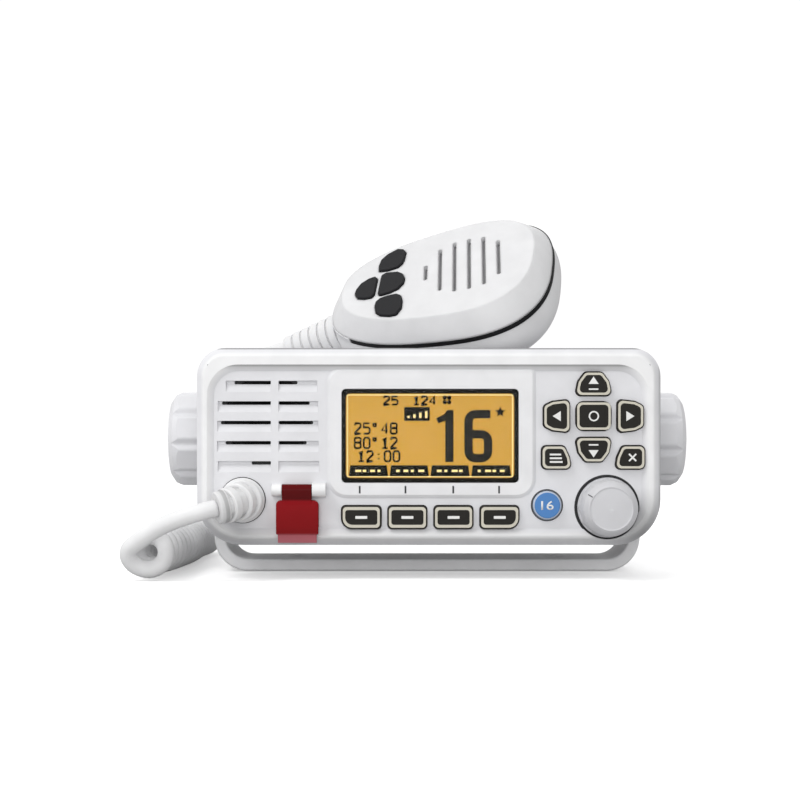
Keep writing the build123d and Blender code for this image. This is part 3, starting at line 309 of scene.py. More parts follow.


# painted shade fixed in the panel's own frame: darker outer top and right edges, a darker lower slope and lower
# corners, and the recess's upper sloping wall
def paint_panel_shade(m):
    nt = m.node_tree
    N, L = nt.nodes, nt.links
    b = N["Principled BSDF"]
    src = b.inputs["Base Color"].links[0].from_socket
    tc = N.new("ShaderNodeTexCoord")
    sep = N.new("ShaderNodeSeparateXYZ")
    L.new(tc.outputs["Object"], sep.inputs["Vector"])

    def ramp_(sock, lo, hi, stops):
        mr = N.new("ShaderNodeMapRange")
        mr.inputs["From Min"].default_value = lo
        mr.inputs["From Max"].default_value = hi
        L.new(sock, mr.inputs["Value"])
        r = N.new("ShaderNodeValToRGB")
        el = r.color_ramp.elements
        while len(el) < len(stops):
            el.new(0.5)
        for e_, (pos, c) in zip(el, stops):
            e_.position = pos
            e_.color = (c, c, c, 1)
        L.new(mr.outputs["Result"], r.inputs["Fac"])
        return r.outputs["Color"]

    def times(a, c, fac=None):
        mx = N.new("ShaderNodeMix"); mx.data_type = "RGBA"; mx.blend_type = "MULTIPLY"
        mx.inputs["Factor"].default_value = 1.0
        if fac is not None:
            L.new(fac, mx.inputs["Factor"])
        L.new(a, mx.inputs["A"])
        L.new(c, mx.inputs["B"])
        return mx.outputs["Result"]

    def both(a, c):
        mm_ = N.new("ShaderNodeMath"); mm_.operation = "MULTIPLY"
        L.new(a, mm_.inputs[0]); L.new(c, mm_.inputs[1])
        return mm_.outputs[0]

    near = ramp_(sep.outputs["Y"], -0.0440, -0.0330, [(0.0, 1.0), (1.0, 0.22)])
    face = ramp_(sep.outputs["Y"], -0.0442, -0.0400, [(0.0, 1.0), (1.0, 0.0)])
    # painted shade along the outer upper edge
    col = times(src, ramp_(sep.outputs["Z"], 0.0770, 0.0778, [(0.0, 1.0), (0.35, 0.85), (0.6, 0.42), (1.0, 0.35)]), near)
    # painted shade along the outer right edge
    col = times(col, ramp_(sep.outputs["X"], 0.0771, 0.0782, [(0.0, 1.0), (0.5, 0.82), (1.0, 0.55)]), near)
    # painted shade on the lower slope, deeper towards both corners
    col = times(col, ramp_(sep.outputs["Z"], 0.0150, 0.0190, [(0.0, 0.86), (1.0, 1.0)]), face)
    right = ramp_(sep.outputs["X"], 0.0600, 0.0725, [(0.0, 0.0), (1.0, 1.0)])
    col = times(col, ramp_(sep.outputs["Z"], 0.0130, 0.0310, [(0.0, 0.42), (0.4, 0.58), (1.0, 1.0)]), both(right, face))
    left = ramp_(sep.outputs["X"], -0.0640, -0.0470, [(0.0, 1.0), (1.0, 0.0)])
    col = times(col, ramp_(sep.outputs["Z"], 0.0140, 0.0220, [(0.0, 0.76), (0.65, 0.80), (1.0, 1.0)]), both(left, face))
    # painted shade at the head of the recess, only on its sloping wall
    ab = N.new("ShaderNodeMath"); ab.operation = "ABSOLUTE"
    L.new(sep.outputs["X"], ab.inputs[0])
    lt = N.new("ShaderNodeMath"); lt.operation = "LESS_THAN"; lt.inputs[1].default_value = 0.0745
    L.new(ab.outputs[0], lt.inputs[0])
    gt = N.new("ShaderNodeMath"); gt.operation = "GREATER_THAN"; gt.inputs[1].default_value = -0.04597
    L.new(sep.outputs["Y"], gt.inputs[0])
    mk = N.new("ShaderNodeMath"); mk.operation = "MULTIPLY"
    L.new(lt.outputs[0], mk.inputs[0]); L.new(gt.outputs[0], mk.inputs[1])
    col = times(col, ramp_(sep.outputs["Z"], 0.0690, 0.0726, [(0.0, 1.0), (0.36, 0.94), (0.64, 0.76), (0.76, 0.50), (0.885, 0.46), (0.91, 1.0), (1.0, 1.0)]), mk.outputs[0])
    L.new(col, b.inputs["Base Color"])
    return m


MIC_U = (0.93504492, -0.30741145, 0.17660464)
MIC_U0 = (5.51 * MIC_U[0] + 4.05 * MIC_U[1] + 101.15 * MIC_U[2]) * 0.001      # face centre along MIC_U
M = {
    # the panel's recess floor is painted darker: painted shade in the recess, faintly bluish
    "panel": paint_panel_shade(material("panel_plastic", (0.83, 0.83, 0.835), 0.42, recess_shade=(-0.0458, -0.0447, (0.88, 0.88, 0.90)), spec=0.35)),
    "case": material("case_coat", (0.70, 0.70, 0.72), 0.45, grain=1800, grain_amt=0.2, spec=0.35),
    "bracket": material("bracket_coat", (0.84, 0.84, 0.85), 0.4, grain=2200, grain_amt=0.25, spec=0.4),
    "knob": material("knob_plastic", (0.70, 0.70, 0.72), 0.42, spec=0.4),
    "steel": material("steel", (0.55, 0.55, 0.56), 0.3, metallic=1.0, brushed=(40, 900, 900), grain=60, grain_amt=0.3),
    "brass": material("brass_turned", (0.62, 0.44, 0.18), 0.28, metallic=1.0, brushed=(900, 40, 40), grain=60, grain_amt=0.3),
    "washer": material("washer_rubber_and_shade_rings", (0.03, 0.03, 0.032), 0.7, grain=2600, grain_amt=0.3, spec=0.25),
    "key_body": material("key_body_silicone", (0.028, 0.024, 0.019), 0.55, grain=2400, spec=0.22),
    "key_ring": material("key_ring_print", (0.62, 0.59, 0.50), 0.55, edge=0, spec=0.2),
    "key_face": material("key_face_print", (0.016, 0.0145, 0.012), 0.5, grain=2400, spec=0.18),
    "blue": material("blue_silicone", (0.060, 0.205, 0.50), 0.42, spec=0.35, coat=0.1, coat_rough=0.2),
    "blue_ring": material("blue_key_rim", (0.46, 0.52, 0.62), 0.45, spec=0.3),
    "red_key": material("red_silicone", (0.42, 0.012, 0.02), 0.5, spec=0.3),
    # painted light on the red cover by height: the pale lower lip stands for light through the thin edge, a painted
    # highlight band lies near the top, and painted shade darkens the hinge knuckle
    "cover": material("cover_red", (0.205, 0.0012, 0.0032), 0.42, grain=400, grain_amt=0.03, coat=0.0, coat_rough=0.1, rough_var=0.03, spec=0.1,
                      bands=((0, 0, 1), 0.0120, 0.0320, [(0.0, (2.15, 120, 53)), (0.14, (2.0, 95, 42)), (0.18, (0.85, 0.8, 0.8)), (0.30, (1.0, 1.0, 1.0)),
                                                         (0.62, (1.15, 1.6, 1.5)), (0.71, (1.2, 2.2, 2.0)), (0.75, (0.38, 0.4, 0.4)), (1.0, (0.5, 0.5, 0.5))])),
    "dial": material("dial_plastic", (0.60, 0.60, 0.62), 0.4, spec=0.35),
    "dial_cap": material("dial_cap", (0.66, 0.66, 0.69), 0.34, spec=0.35),
    "shaft": material("shaft_plastic", (0.10, 0.10, 0.105), 0.5, spec=0.3),
    "encoder": material("encoder_shell", (0.45, 0.45, 0.47), 0.35, metallic=0.9, grain=900),
    "window": material("window_clear", (0.97, 0.97, 0.95), 0.06, var=0.01, trans=1.0, ior=1.12, edge=0, grain=300, grain_amt=0.01, rough_var=0.015, spec=0.5),
    "mask": material("window_mask", (0.006, 0.0055, 0.004), 0.5, grain=2600, edge=0, spec=0.1),
    "lcd": material("lcd_amber", (0.30, 0.17, 0.03), 0.6, var=0.05, var_scale=40, emit=(0.80, 0.43, 0.055), emit_strength=0.54, edge=0, spec=0.1),
    "lcd_line": material("lcd_outline", (0.80, 0.66, 0.30), 0.6, emit=(0.9, 0.68, 0.26), emit_strength=0.48, edge=0, spec=0.1),
    "lcd_ink": material("lcd_ink", (0.007, 0.006, 0.004), 0.6, edge=0, spec=0.05),
    "backlight": material("light_guide", (0.8, 0.78, 0.7), 0.2, trans=0.3),
    "mat_grey": material("mat_silicone", (0.20, 0.20, 0.21), 0.6),
    "board": material("board_mask", (0.012, 0.10, 0.04), 0.35, var=0.15, var_scale=300, coat=0.3),
    "black_metal": material("black_metal", (0.012, 0.012, 0.013), 0.45, grain=1800, spec=0.3),
    "cone": material("cone_paper", (0.02, 0.02, 0.021), 0.85, grain=900, grain_amt=0.6, var=0.2, spec=0.2),
    "magnet": material("ferrite", (0.05, 0.05, 0.055), 0.7, grain=1500, grain_amt=0.5),
    "seal": material("seal_rubber", (0.012, 0.012, 0.013), 0.6, grain=2600, grain_amt=0.3, spec=0.2),
    "nickel": material("nickel", (0.62, 0.61, 0.58), 0.2, metallic=1.0, grain=900, grain_amt=0.1),
    "gold": material("gold_flash", (0.75, 0.52, 0.2), 0.22, metallic=1.0, grain=900, grain_amt=0.1),
    "gland": material("gland_rubber", (0.03, 0.03, 0.032), 0.6, grain=2200, grain_amt=0.3, spec=0.25),
    # painted shade in the creases of the boot rubber and between the cord's turns, through crease_shade
    "boot": material("boot_rubber", (0.74, 0.74, 0.745), 0.5, sss=0.1, grain=1700, grain_amt=0.2, crease_shade=0.75, spec=0.3),
    # painted shade: a grey band round the boot near its tip stands for the shadow in the groove behind the tip collar
    "boot_panel": material("boot_rubber_panel_painted_shade", (0.76, 0.76, 0.765), 0.5, sss=0.05, grain=1700, grain_amt=0.2, crease_shade=0.75, spec=0.3,
                           bands=((-0.8976, -0.3949, -0.1975), 0.0760, 0.0810, [(0.0, (1, 1, 1)), (0.28, (1, 1, 1)), (0.36, (0.54, 0.54, 0.54)), (0.56, (0.60, 0.60, 0.60)), (0.64, (0.90, 0.90, 0.90)), (1.0, (0.95, 0.95, 0.95))])),
    "cord": material("cord_jacket", (0.78, 0.78, 0.785), 0.45, grain=1500, grain_amt=0.18, var=0.05, edge=0, spec=0.35, crease_shade=0.35),
    "mic": material("mic_plastic", (0.69, 0.69, 0.698), 0.45, edge=0.0013, grain=2300, grain_amt=0.32, spec=0.35),
    "mic_key": material("mic_key_rubber", (0.013, 0.013, 0.0145), 0.55, grain=2400, grain_amt=0.3, spec=0.18),
    "ptt": material("ptt_rubber", (0.60, 0.60, 0.62), 0.55, grain=2000, grain_amt=0.3, spec=0.3),
    "white_ink": material("white_print", (0.80, 0.80, 0.78), 0.5, edge=0, spec=0.2),
    "dark_ink": material("dark_print", (0.05, 0.05, 0.055), 0.5, edge=0, spec=0.2),
    # the band between the shells is black from the push-to-talk side round the crown, pale towards the cord
    "felt": material("dust_felt", (0.30, 0.30, 0.305), 0.9, grain=3200, grain_amt=0.8, var=0.12, spec=0.1, edge=0),
    "gasket": material("mic_band_rubber", (0.74, 0.74, 0.75), 0.6, grain=2600, grain_amt=0.3, spec=0.15,
                       bands=(MIC_U, MIC_U0 - 0.0338, MIC_U0 - 0.0328, [(0.0, (0.9, 0.9, 0.9)), (1.0, (0.012, 0.012, 0.013))])),
}

NODE_MAT = {
    "bracket": "bracket", "knob_left": "knob", "knob_right": "knob", "knob_stud_left": "steel",
    "knob_stud_right": "steel", "pivot_washers": "washer", "side_inserts": "brass", "front_panel": "panel",
    "key_up": "key_body", "key_down": "key_body", "key_left": "key_body", "key_right": "key_body",
    "key_enter": "key_body", "key_menu": "key_body", "key_clear": "key_body", "soft_key_1": "key_body",
    "soft_key_2": "key_body", "soft_key_3": "key_body", "soft_key_4": "key_body", "key_channel": "blue_ring",
    "distress_key": "red_key", "distress_cover": "cover", "distress_pin": "steel", "dial_knob": "dial",
    "dial_shaft": "shaft", "dial_sleeve": "shaft", "dial_encoder": "encoder", "display_window": "window",
    "lcd_panel": "lcd", "lcd_backlight": "backlight", "keypad_mat": "mat_grey", "logic_board": "board",
    "speaker_frame": "black_metal", "speaker_cone": "cone", "speaker_magnet": "magnet", "case": "case",
    "main_board": "board", "case_screws": "steel", "case_seal": "seal", "antenna_socket": "nickel",
    "antenna_contact": "gold", "power_lead_gland": "gland", "cord_boot_panel": "boot_panel",
    "cord_lead_front": "cord", "curly_cord": "cord", "curly_cord_upper": "cord", "cord_lead_mic": "cord",
    "mic_front_shell": "mic", "mic_rear_shell": "mic", "mic_gasket": "gasket", "mic_key_up": "mic_key",
    "mic_key_left": "mic_key", "mic_key_right": "mic_key", "mic_key_down": "mic_key", "mic_board": "board",
    "mic_capsule": "encoder", "mic_boot": "boot", "mic_hanger_button": "steel", "mic_screws": "steel",
    "ptt_paddle": "ptt",
}
for n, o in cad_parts.items():
    o.data.materials.clear()
    o.data.materials.append(M[NODE_MAT[n]])

# ------------------------------------------------------------------ the cord
CORD_R = 2.9
COIL_R = 5.3
ROUTE = [
    (-93.4, -52.6, 8.3), (-93.4, -43.5, 9.9), (-91.8, -20, 8.4), (-90.2, 12, 8.2), (-89.8, 42, 8.2), (-88, 69.4, 8.2), (-86.8, 82.7, 14.6),
    (-85.6, 91.9, 26.2), (-84.95, 93.55, 33.4), (-84.3, 95.2, 40.6), (-82.8, 91.9, 55.0),
    (-81.3, 82.7, 66.6), (-79.8, 69.4, 73.0), (-77.6, 57.0, 73.3), (-73.4, 45.2, 74.6),
    (-64.4496, 34.9945, 78.1868), (-52.7516, 30.3574, 81.4508),
]
rc = bpy.data.curves.new("route", "CURVE")
rc.dimensions = "3D"
rc.resolution_u = 32
sp = rc.splines.new("NURBS")
sp.points.add(len(ROUTE) - 1)
for pnt, q in zip(sp.points, ROUTE):
    pnt.co = (q[0] * MM, q[1] * MM, q[2] * MM, 1)
sp.order_u = 3
sp.use_endpoint_u = True
ro = bpy.data.objects.new("route", rc)
COL.objects.link(ro)
bpy.context.view_layer.update()
rm = bpy.data.meshes.new_from_object(ro.evaluated_get(bpy.context.evaluated_depsgraph_get()))
line = np.array([v.co for v in rm.vertices], float) / MM
bpy.data.objects.remove(ro)
bpy.data.meshes.remove(rm)


def arc_length(p):
    return np.concatenate([[0], np.cumsum(np.linalg.norm(np.diff(p, axis=0), axis=1))])


def resample(p, step):
    s = arc_length(p)
    n = max(2, int(round(s[-1] / step)) + 1)
    t = np.linspace(0, s[-1], n)
    return np.stack([np.interp(t, s, p[:, i]) for i in range(3)], 1)


def unit(v):
    return v / np.linalg.norm(v, axis=-1, keepdims=True)


def frames(p, n0):
    """tangents and a normal carried along without twist"""
    t = unit(np.gradient(p, axis=0))
    n = np.zeros_like(p)
    n[0] = unit(n0 - t[0] * (n0 @ t[0]))
    for i in range(1, len(p)):
        v = n[i - 1] - t[i] * (n[i - 1] @ t[i])
        n[i] = v / np.linalg.norm(v)
    return t, n


axis_line = resample(line, 0.1)
s_ax = arc_length(axis_line)
tan, _ = frames(axis_line, np.array([-1.0, 0, 0]))
k_start = 0
k_end = int(np.argmin(np.linalg.norm(axis_line - np.array([-82.5, 89.5, 59.0]), axis=1)))
k_join = int(np.argmin(np.linalg.norm(axis_line - np.array([-84.95, 93.55, 33.4]), axis=1)))
dt = np.gradient(tan, axis=0) / np.gradient(s_ax)[:, None]
kap = np.linalg.norm(dt, axis=1)
kap = np.convolve(np.pad(kap, 40, mode="edge"), np.ones(81) / 81, "valid")
# the coil's turns lie against each other on the inside of its bends
pitch = (6.1 + 2.1 * np.clip(1 - s_ax / 60.0, 0, 1)) / (1 - np.clip(kap, 0, 0.05) * COIL_R)
ramp_out = 12.0
R = np.zeros(len(axis_line))
si, so = s_ax[k_start], s_ax[k_end]


def sstep(x):
    x = np.clip(x, 0, 1)
    return x * x * (3 - 2 * x)


R = COIL_R * sstep((so - s_ax) / ramp_out)
phi = np.zeros(len(axis_line))
# the turns open out where the coil runs into the lead, so that the wire never bends tighter than in the coil
pitch = pitch * (1 + 1.8 * np.clip((s_ax - (so - 18.0)) / 14.0, 0, 1))
dphi = 2 * math.pi / pitch
phi = np.concatenate([[0], np.cumsum(0.5 * (dphi[1:] + dphi[:-1]) * np.diff(s_ax))])
phi -= phi[k_start]
_, nrm = frames(axis_line, np.array([-1.0, 0, 0]))
# carry the normal from the coil's front end both ways so that phase 0 is its left side
t0 = tan[k_start]
LEAD_N = np.array([-0.574, 0.0, 0.819])
n0 = unit(LEAD_N - t0 * (LEAD_N @ t0))
ang0 = math.atan2(float(np.cross(nrm[k_start], n0) @ t0), float(nrm[k_start] @ n0))
bn = np.cross(nrm, tan)
helix = axis_line + R[:, None] * (np.cos(phi - ang0)[:, None] * nrm + np.sin(phi - ang0)[:, None] * bn)
# the first turn hangs a little wider than the rest
loose = 1.0 + 0.30 * (1 - sstep(s_ax / 7.0))
helix[:, 0] = axis_line[:, 0] + (helix[:, 0] - axis_line[:, 0]) * np.where(helix[:, 0] < axis_line[:, 0], loose, 1.0)
s_h = arc_length(helix)
# a little natural unevenness in the turns
wob = 0.12 * np.sin(s_h / 41.0) * (R / COIL_R)
helix = helix + wob[:, None] * bn
# the lead comes off the panel's boot and runs straight on into the first turn
ang_h = np.degrees(np.arctan2(helix[:, 2] - axis_line[:, 2], helix[:, 0] - axis_line[:, 0]))
turn_dir = np.sign(np.median(np.diff(ang_h[:20])))
print("first turn: angle", round(float(ang_h[0]), 1), "goes", turn_dir)
LEAD_T0 = unit(np.array([-0.916, -0.337, -0.218]))
LEAD_P0 = np.array([-70.2, -56.6, 24.4])
t_in = unit(helix[6] - helix[0])
c1 = LEAD_P0 + 11.0 * LEAD_T0
c2 = helix[0] - 11.5 * t_in
tt_ = np.linspace(0, 1, 120)[:-1, None]
lead = (1 - tt_) ** 3 * LEAD_P0 + 3 * (1 - tt_) ** 2 * tt_ * c1 + 3 * (1 - tt_) * tt_ ** 2 * c2 + tt_ ** 3 * helix[0]
k_join += len(lead)
helix = np.concatenate([lead, helix])
join_s = arc_length(helix)[k_join]


def tube_mesh(name, path, r, mat, seg=20):
    p = resample(path, 1.15)
    t, n = frames(p, np.array([0, 0, 1.0]))
    b = np.cross(t, n)
    verts, faces = [], []
    for i in range(len(p)):
        for k in range(seg):
            a = 2 * math.pi * k / seg
            verts.append((p[i] + r * (math.cos(a) * n[i] + math.sin(a) * b[i])) * MM)
    for i in range(len(p) - 1):
        for k in range(seg):
            kk = (k + 1) % seg
            faces.append((i * seg + k, i * seg + kk, (i + 1) * seg + kk, (i + 1) * seg + k))
    faces.append(tuple(range(seg)))
    faces.append(tuple((len(p) - 1) * seg + k for k in range(seg)))
    o = add_mesh(name, verts, faces, mat, None, smooth=True)
    return o, p


full = helix
sf = arc_length(full)
# the coil is parted under one of its middle turns
middle = np.where(np.abs(full[:, 1]) < 4.0)[0]
middle = middle[middle < k_join]
k_mid = int(middle[np.argmin(full[middle, 2])])
front_path = full[:k_mid + 1]
rear_path = full[k_mid:k_join + 1]
mic_path = full[k_join:]
cord_a, path_a = tube_mesh("cord_front_and_coil", front_path, CORD_R, M["cord"])
cord_b, path_b = tube_mesh("cord_coil_to_mic", mic_path, CORD_R, M["cord"])
cord_c, path_c = tube_mesh("cord_coil_rear", rear_path, CORD_R, M["cord"])
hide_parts("cord_lead_front", "curly_cord")
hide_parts("curly_cord_upper", "cord_lead_mic")
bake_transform(cord_a)
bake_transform(cord_c)
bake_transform(cord_b)

# ------------------------------------------------------------------ window, mask and LCD picture
WIN = (-29.3, 30.2, 32.4, 63.9)
ACT = (-28.2, 29.1, 33.7, 62.7)
frame_plate("window_mask", rect(WIN[0] + 0.1, WIN[1] - 0.1, WIN[2] + 0.1, WIN[3] - 0.1, 1.3),
            rect(ACT[0] + 0.25, ACT[1] - 0.25, ACT[2] + 0.25, ACT[3] - 0.25, 1.5), -43.52, -43.62, M["mask"], "radio")
YL = -42.22
frame_plate("lcd_outline", rect(ACT[0] + 0.5, ACT[1] - 0.5, ACT[2] + 0.5, ACT[3] - 0.5, 0.4),
            rect(ACT[0] + 0.95, ACT[1] - 0.95, ACT[2] + 0.95, ACT[3] - 0.95, 0.3), YL, YL - 0.04, M["lcd_line"], "radio")

SEG = {  # seven-segment figures
    "0": "abcdef", "1": "bc", "2": "abdeg", "3": "abcdg", "4": "bcfg", "5": "acdfg", "6": "acdefg",
    "7": "abc", "8": "abcdefg", "9": "abcdfg",
}
FONT5 = {
    "0": ["01110", "10001", "10011", "10101", "11001", "10001", "01110"],
    "1": ["00100", "01100", "00100", "00100", "00100", "00100", "01110"],
    "2": ["01110", "10001", "00001", "00110", "01000", "10000", "11111"],
    "3": ["11110", "00001", "00001", "01110", "00001", "00001", "11110"],
    "4": ["00010", "00110", "01010", "10010", "11111", "00010", "00010"],
    "5": ["11111", "10000", "11110", "00001", "00001", "10001", "01110"],
    "6": ["00110", "01000", "10000", "11110", "10001", "10001", "01110"],
    "7": ["11111", "00001", "00010", "00100", "01000", "01000", "01000"],
    "8": ["01110", "10001", "10001", "01110", "10001", "10001", "01110"],
    "9": ["01110", "10001", "10001", "01111", "00001", "00010", "01100"],
    ":": ["00000", "00100", "00100", "00000", "00100", "00100", "00000"],
    "*": ["00000", "01110", "01010", "01110", "00000", "00000", "00000"],
    "-": ["00000", "00000", "00000", "11111", "00000", "00000", "00000"],
    " ": ["00000"] * 7,
}


def dots(name, text, x0, z0, h, mat, y=YL, t=0.05, advance=None, w=None, body="radio", slot="lcd_amber"):
    """dot-matrix figures; x0, z0 lower left corner, h figure height, in mm"""
    px = h / 7.0
    pw = (w / 5.0) if w else px
    adv = advance or 6 * pw
    verts, faces = [], []
    for i, ch in enumerate(text):
        for r, row in enumerate(FONT5[ch]):
            c = 0
            while c < 5:
                if row[c] == "1":
                    e = c
                    while e < 5 and row[e] == "1":
                        e += 1
                    xa, xb = x0 + i * adv + c * pw, x0 + i * adv + e * pw
                    zb = z0 + (7 - r) * px
                    za = zb - px * 1.02
                    k = len(verts)
                    for yy in (y, y - t):
                        verts += [(xa * MM, yy * MM, za * MM), (xb * MM, yy * MM, za * MM),
                                  (xb * MM, yy * MM, zb * MM), (xa * MM, yy * MM, zb * MM)]
                    faces += [(k, k + 1, k + 2, k + 3), (k + 4, k + 5, k + 6, k + 7), (k, k + 1, k + 5, k + 4),
                              (k + 1, k + 2, k + 6, k + 5), (k + 2, k + 3, k + 7, k + 6), (k + 3, k, k + 4, k + 7)]
                    c = e
                else:
                    c += 1
    return add_mesh(name, verts, faces, mat, body)


def glyphs(name, text, x0, x1, z0, z1, mat, y, t=0.05, body="radio", bold=0.0):
    """figures from the plain built-in face, fitted into a box"""
    fc = bpy.data.curves.new(name + "_f", "FONT")
    fc.body = text
    fc.resolution_u = 6
    fc.offset = bold
    fo = bpy.data.objects.new(name + "_f", fc)
    COL.objects.link(fo)
    bpy.context.view_layer.update()
    me = bpy.data.meshes.new_from_object(fo.evaluated_get(bpy.context.evaluated_depsgraph_get()))
    bpy.data.objects.remove(fo)
    co = np.array([v.co for v in me.vertices])
    lo, hi = co.min(0), co.max(0)
    bm = bmesh.new()
    bm.from_mesh(me)
    for v in bm.verts:
        X = x0 + (v.co.x - lo[0]) / (hi[0] - lo[0]) * (x1 - x0)
        Z = z0 + (v.co.y - lo[1]) / (hi[1] - lo[1]) * (z1 - z0)
        v.co = Vector((X * MM, y * MM, Z * MM))
    g = bmesh.ops.extrude_face_region(bm, geom=bm.faces[:])
    for v in g["geom"]:
        if isinstance(v, bmesh.types.BMVert):
            v.co.y -= t * MM
    bmesh.ops.recalc_face_normals(bm, faces=bm.faces)
    bm.to_mesh(me)
    bm.free()
    me.name = name
    me.materials.clear()
    me.materials.append(mat)
    o = bpy.data.objects.new(name, me)
    COL.objects.link(o)
    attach(o, body)
    return o




def stroke(name, path, width, mat, y, t, body):
    """line of even width along (X, Z) points, square ended"""
    n_ = len(path)
    vs, fs_ = [], []
    for i, q in enumerate(path):
        a_ = Vector(path[max(0, i - 1)]); b_ = Vector(path[min(n_ - 1, i + 1)])
        d_ = (b_ - a_).normalized()
        k_ = 1.0
        if 0 < i < n_ - 1:
            d0 = (Vector(q) - a_).normalized()
            k_ = 1.0 / max(0.5, d0.dot(d_))
        nn = Vector((-d_.y, d_.x)) * (width / 2 * k_)
        for sgn in (1, -1):
            pp = Vector(q) + nn * sgn
            for yy in (y, y - t):
                vs.append((pp.x * MM, yy * MM, pp.y * MM))
    for i in range(n_ - 1):
        a_, b_ = 4 * i, 4 * i + 4
        fs_ += [(a_ + 1, b_ + 1, b_ + 3, a_ + 3), (a_, a_ + 2, b_ + 2, b_), (a_, b_, b_ + 1, a_ + 1), (a_ + 2, a_ + 3, b_ + 3, b_ + 2)]
    e_ = 4 * (n_ - 1)
    fs_ += [(0, 1, 3, 2), (e_, e_ + 2, e_ + 3, e_ + 1)]
    return add_mesh(name, vs, fs_, mat, body)


def arc_pts(cx, cz, r, a0, a1, n_=8):
    return [(cx + r * math.cos(math.radians(a0 + (a1 - a0) * i / n_)), cz + r * math.sin(math.radians(a0 + (a1 - a0) * i / n_))) for i in range(n_ + 1)]


plate("lcd_figure_1", [(5.6, 39.3), (8.4, 39.3), (8.4, 56.9), (6.2, 56.9), (5.3, 55.5), (2.5, 54.1), (3.3, 52.3), (5.6, 53.3)], YL, YL - 0.05, M["lcd_ink"], "radio")
stroke("lcd_figure_6", [(20.9, 55.5), (16.2, 55.5)] + arc_pts(15.9, 53.1, 2.4, 96, 180) + arc_pts(15.9, 43.0, 2.4, 180, 270)
       + arc_pts(17.7, 43.0, 2.4, 270, 360) + arc_pts(17.7, 46.3, 2.4, 0, 90) + [(14.6, 48.7)], 2.85, M["lcd_ink"], YL, 0.05, "radio")

DIG = {  # single-stroke figures on a 2 x 3 grid
    "0": [[(1, 0), (1.6, 0), (2, 0.5), (2, 2.5), (1.6, 3), (0.4, 3), (0, 2.5), (0, 0.5), (0.4, 0), (1.05, 0)]], "1": [[(0.3, 2.3), (1.1, 3), (1.1, 0)], [(0.2, 0), (2, 0)]],
    "2": [[(0, 2.4), (0.3, 3), (1.7, 3), (2, 2.5), (2, 2), (0, 0.2), (0, 0), (2, 0)]],
    "4": [[(1.5, 0), (1.5, 3), (0, 0.9), (2, 0.9)]], "5": [[(2, 3), (0, 3), (0, 1.8), (1.6, 1.8), (2, 1.4), (2, 0.4), (1.6, 0), (0, 0)]],
    "8": [[(0.2, 1.6), (0, 2), (0, 2.7), (0.3, 3), (1.7, 3), (2, 2.7), (2, 2), (1.8, 1.6), (0.2, 1.6), (0, 1.2), (0, 0.3), (0.3, 0), (1.7, 0), (2, 0.3), (2, 1.2), (1.8, 1.6)]],
    "*": [[(0.2, 2.1), (0.2, 2.9), (1.0, 2.9), (1.0, 2.1), (0.2, 2.1)]], ":": [[(1, 0.6), (1, 1.0)], [(1, 1.9), (1, 2.3)]],
}


def figures(name, text, x0, z0, w_, h_, adv, wd):
    for i, ch in enumerate(text):
        if ch == " ":
            continue
        for j, ln in enumerate(DIG[ch]):
            stroke(f"{name}_{i}_{j}", [(x0 + i * adv + a_ / 2 * w_, z0 + b_ / 3 * h_) for a_, b_ in ln], wd, M["lcd_ink"], YL, 0.05, "radio")


figures("lcd_row_1", "25*48", -25.0, 48.9, 2.0, 3.5, 3.05, 0.62)
figures("lcd_row_2", "80*12", -25.0, 44.0, 2.0, 3.5, 3.05, 0.62)
figures("lcd_row_3", "12:00", -23.9, 39.55, 2.0, 3.4, 3.0, 0.62)
figures("lcd_top_row", "25", -15.2, 58.75, 1.9, 2.7, 2.8, 0.6)
figures("lcd_top_row_b", "124", -5.2, 58.75, 1.9, 2.7, 2.8, 0.6)
plate("lcd_flag", rect(-8.3, 0.4, 53.2, 57.9, 0.3), YL, YL - 0.05, M["lcd_ink"], "radio")
for i, x in enumerate((-7.2, -5.2, -3.2, -1.2)):
    plate(f"lcd_flag_bar_{i}", rect(x, x + 0.8, 54.2, 54.9 + 0.55 * i, 0), YL - 0.05, YL - 0.08, M["lcd_line"], "radio")
star = []
for i in range(10):
    a = math.pi / 2 + i * math.pi / 5
    r = 2.0 if i % 2 == 0 else 0.85
    star.append((24.2 + r * math.cos(a), 56.2 + r * math.sin(a)))
plate("lcd_star", star, YL, YL - 0.05, M["lcd_ink"], "radio")
for i in range(4):
    a = math.radians(45 + 90 * i)
    plate(f"lcd_fan_{i}", circle(6.2 + 1.05 * math.cos(a), 60.3 + 1.05 * math.sin(a), 0.75, 12), YL, YL - 0.05, M["lcd_ink"], "radio")
TABS = [(-27.0, -13.7), (-13.2, 0.1), (0.6, 13.9), (14.4, 27.9)]
for i, (a, b_) in enumerate(TABS):
    plate(f"lcd_tab_{i}", [(a, 34.5), (b_, 34.5), (b_ - 0.5, 38.2), (a + 0.5, 38.2)], YL, YL - 0.05, M["lcd_ink"], "radio")
    for j in range(4):
        w_ = (2.0, 1.2, 1.6, 1.0)[(i + j) % 4]
        x = a + 2.2 + j * 2.5
        plate(f"lcd_tab_{i}_mark_{j}", rect(x, x + w_, 35.9, 36.7, 0), YL - 0.05, YL - 0.08, M["lcd_line"], "radio")

# ticks below the window
YP = -45.3
for i, x in enumerate((-23.24, -7.85, 8.22, 23.64)):
    plate(f"tick_{i}", rect(x - 0.3, x + 0.3, 28.8, 31.33, 0), YP + 0.02, YP - 0.03, M["dark_ink"], "radio")

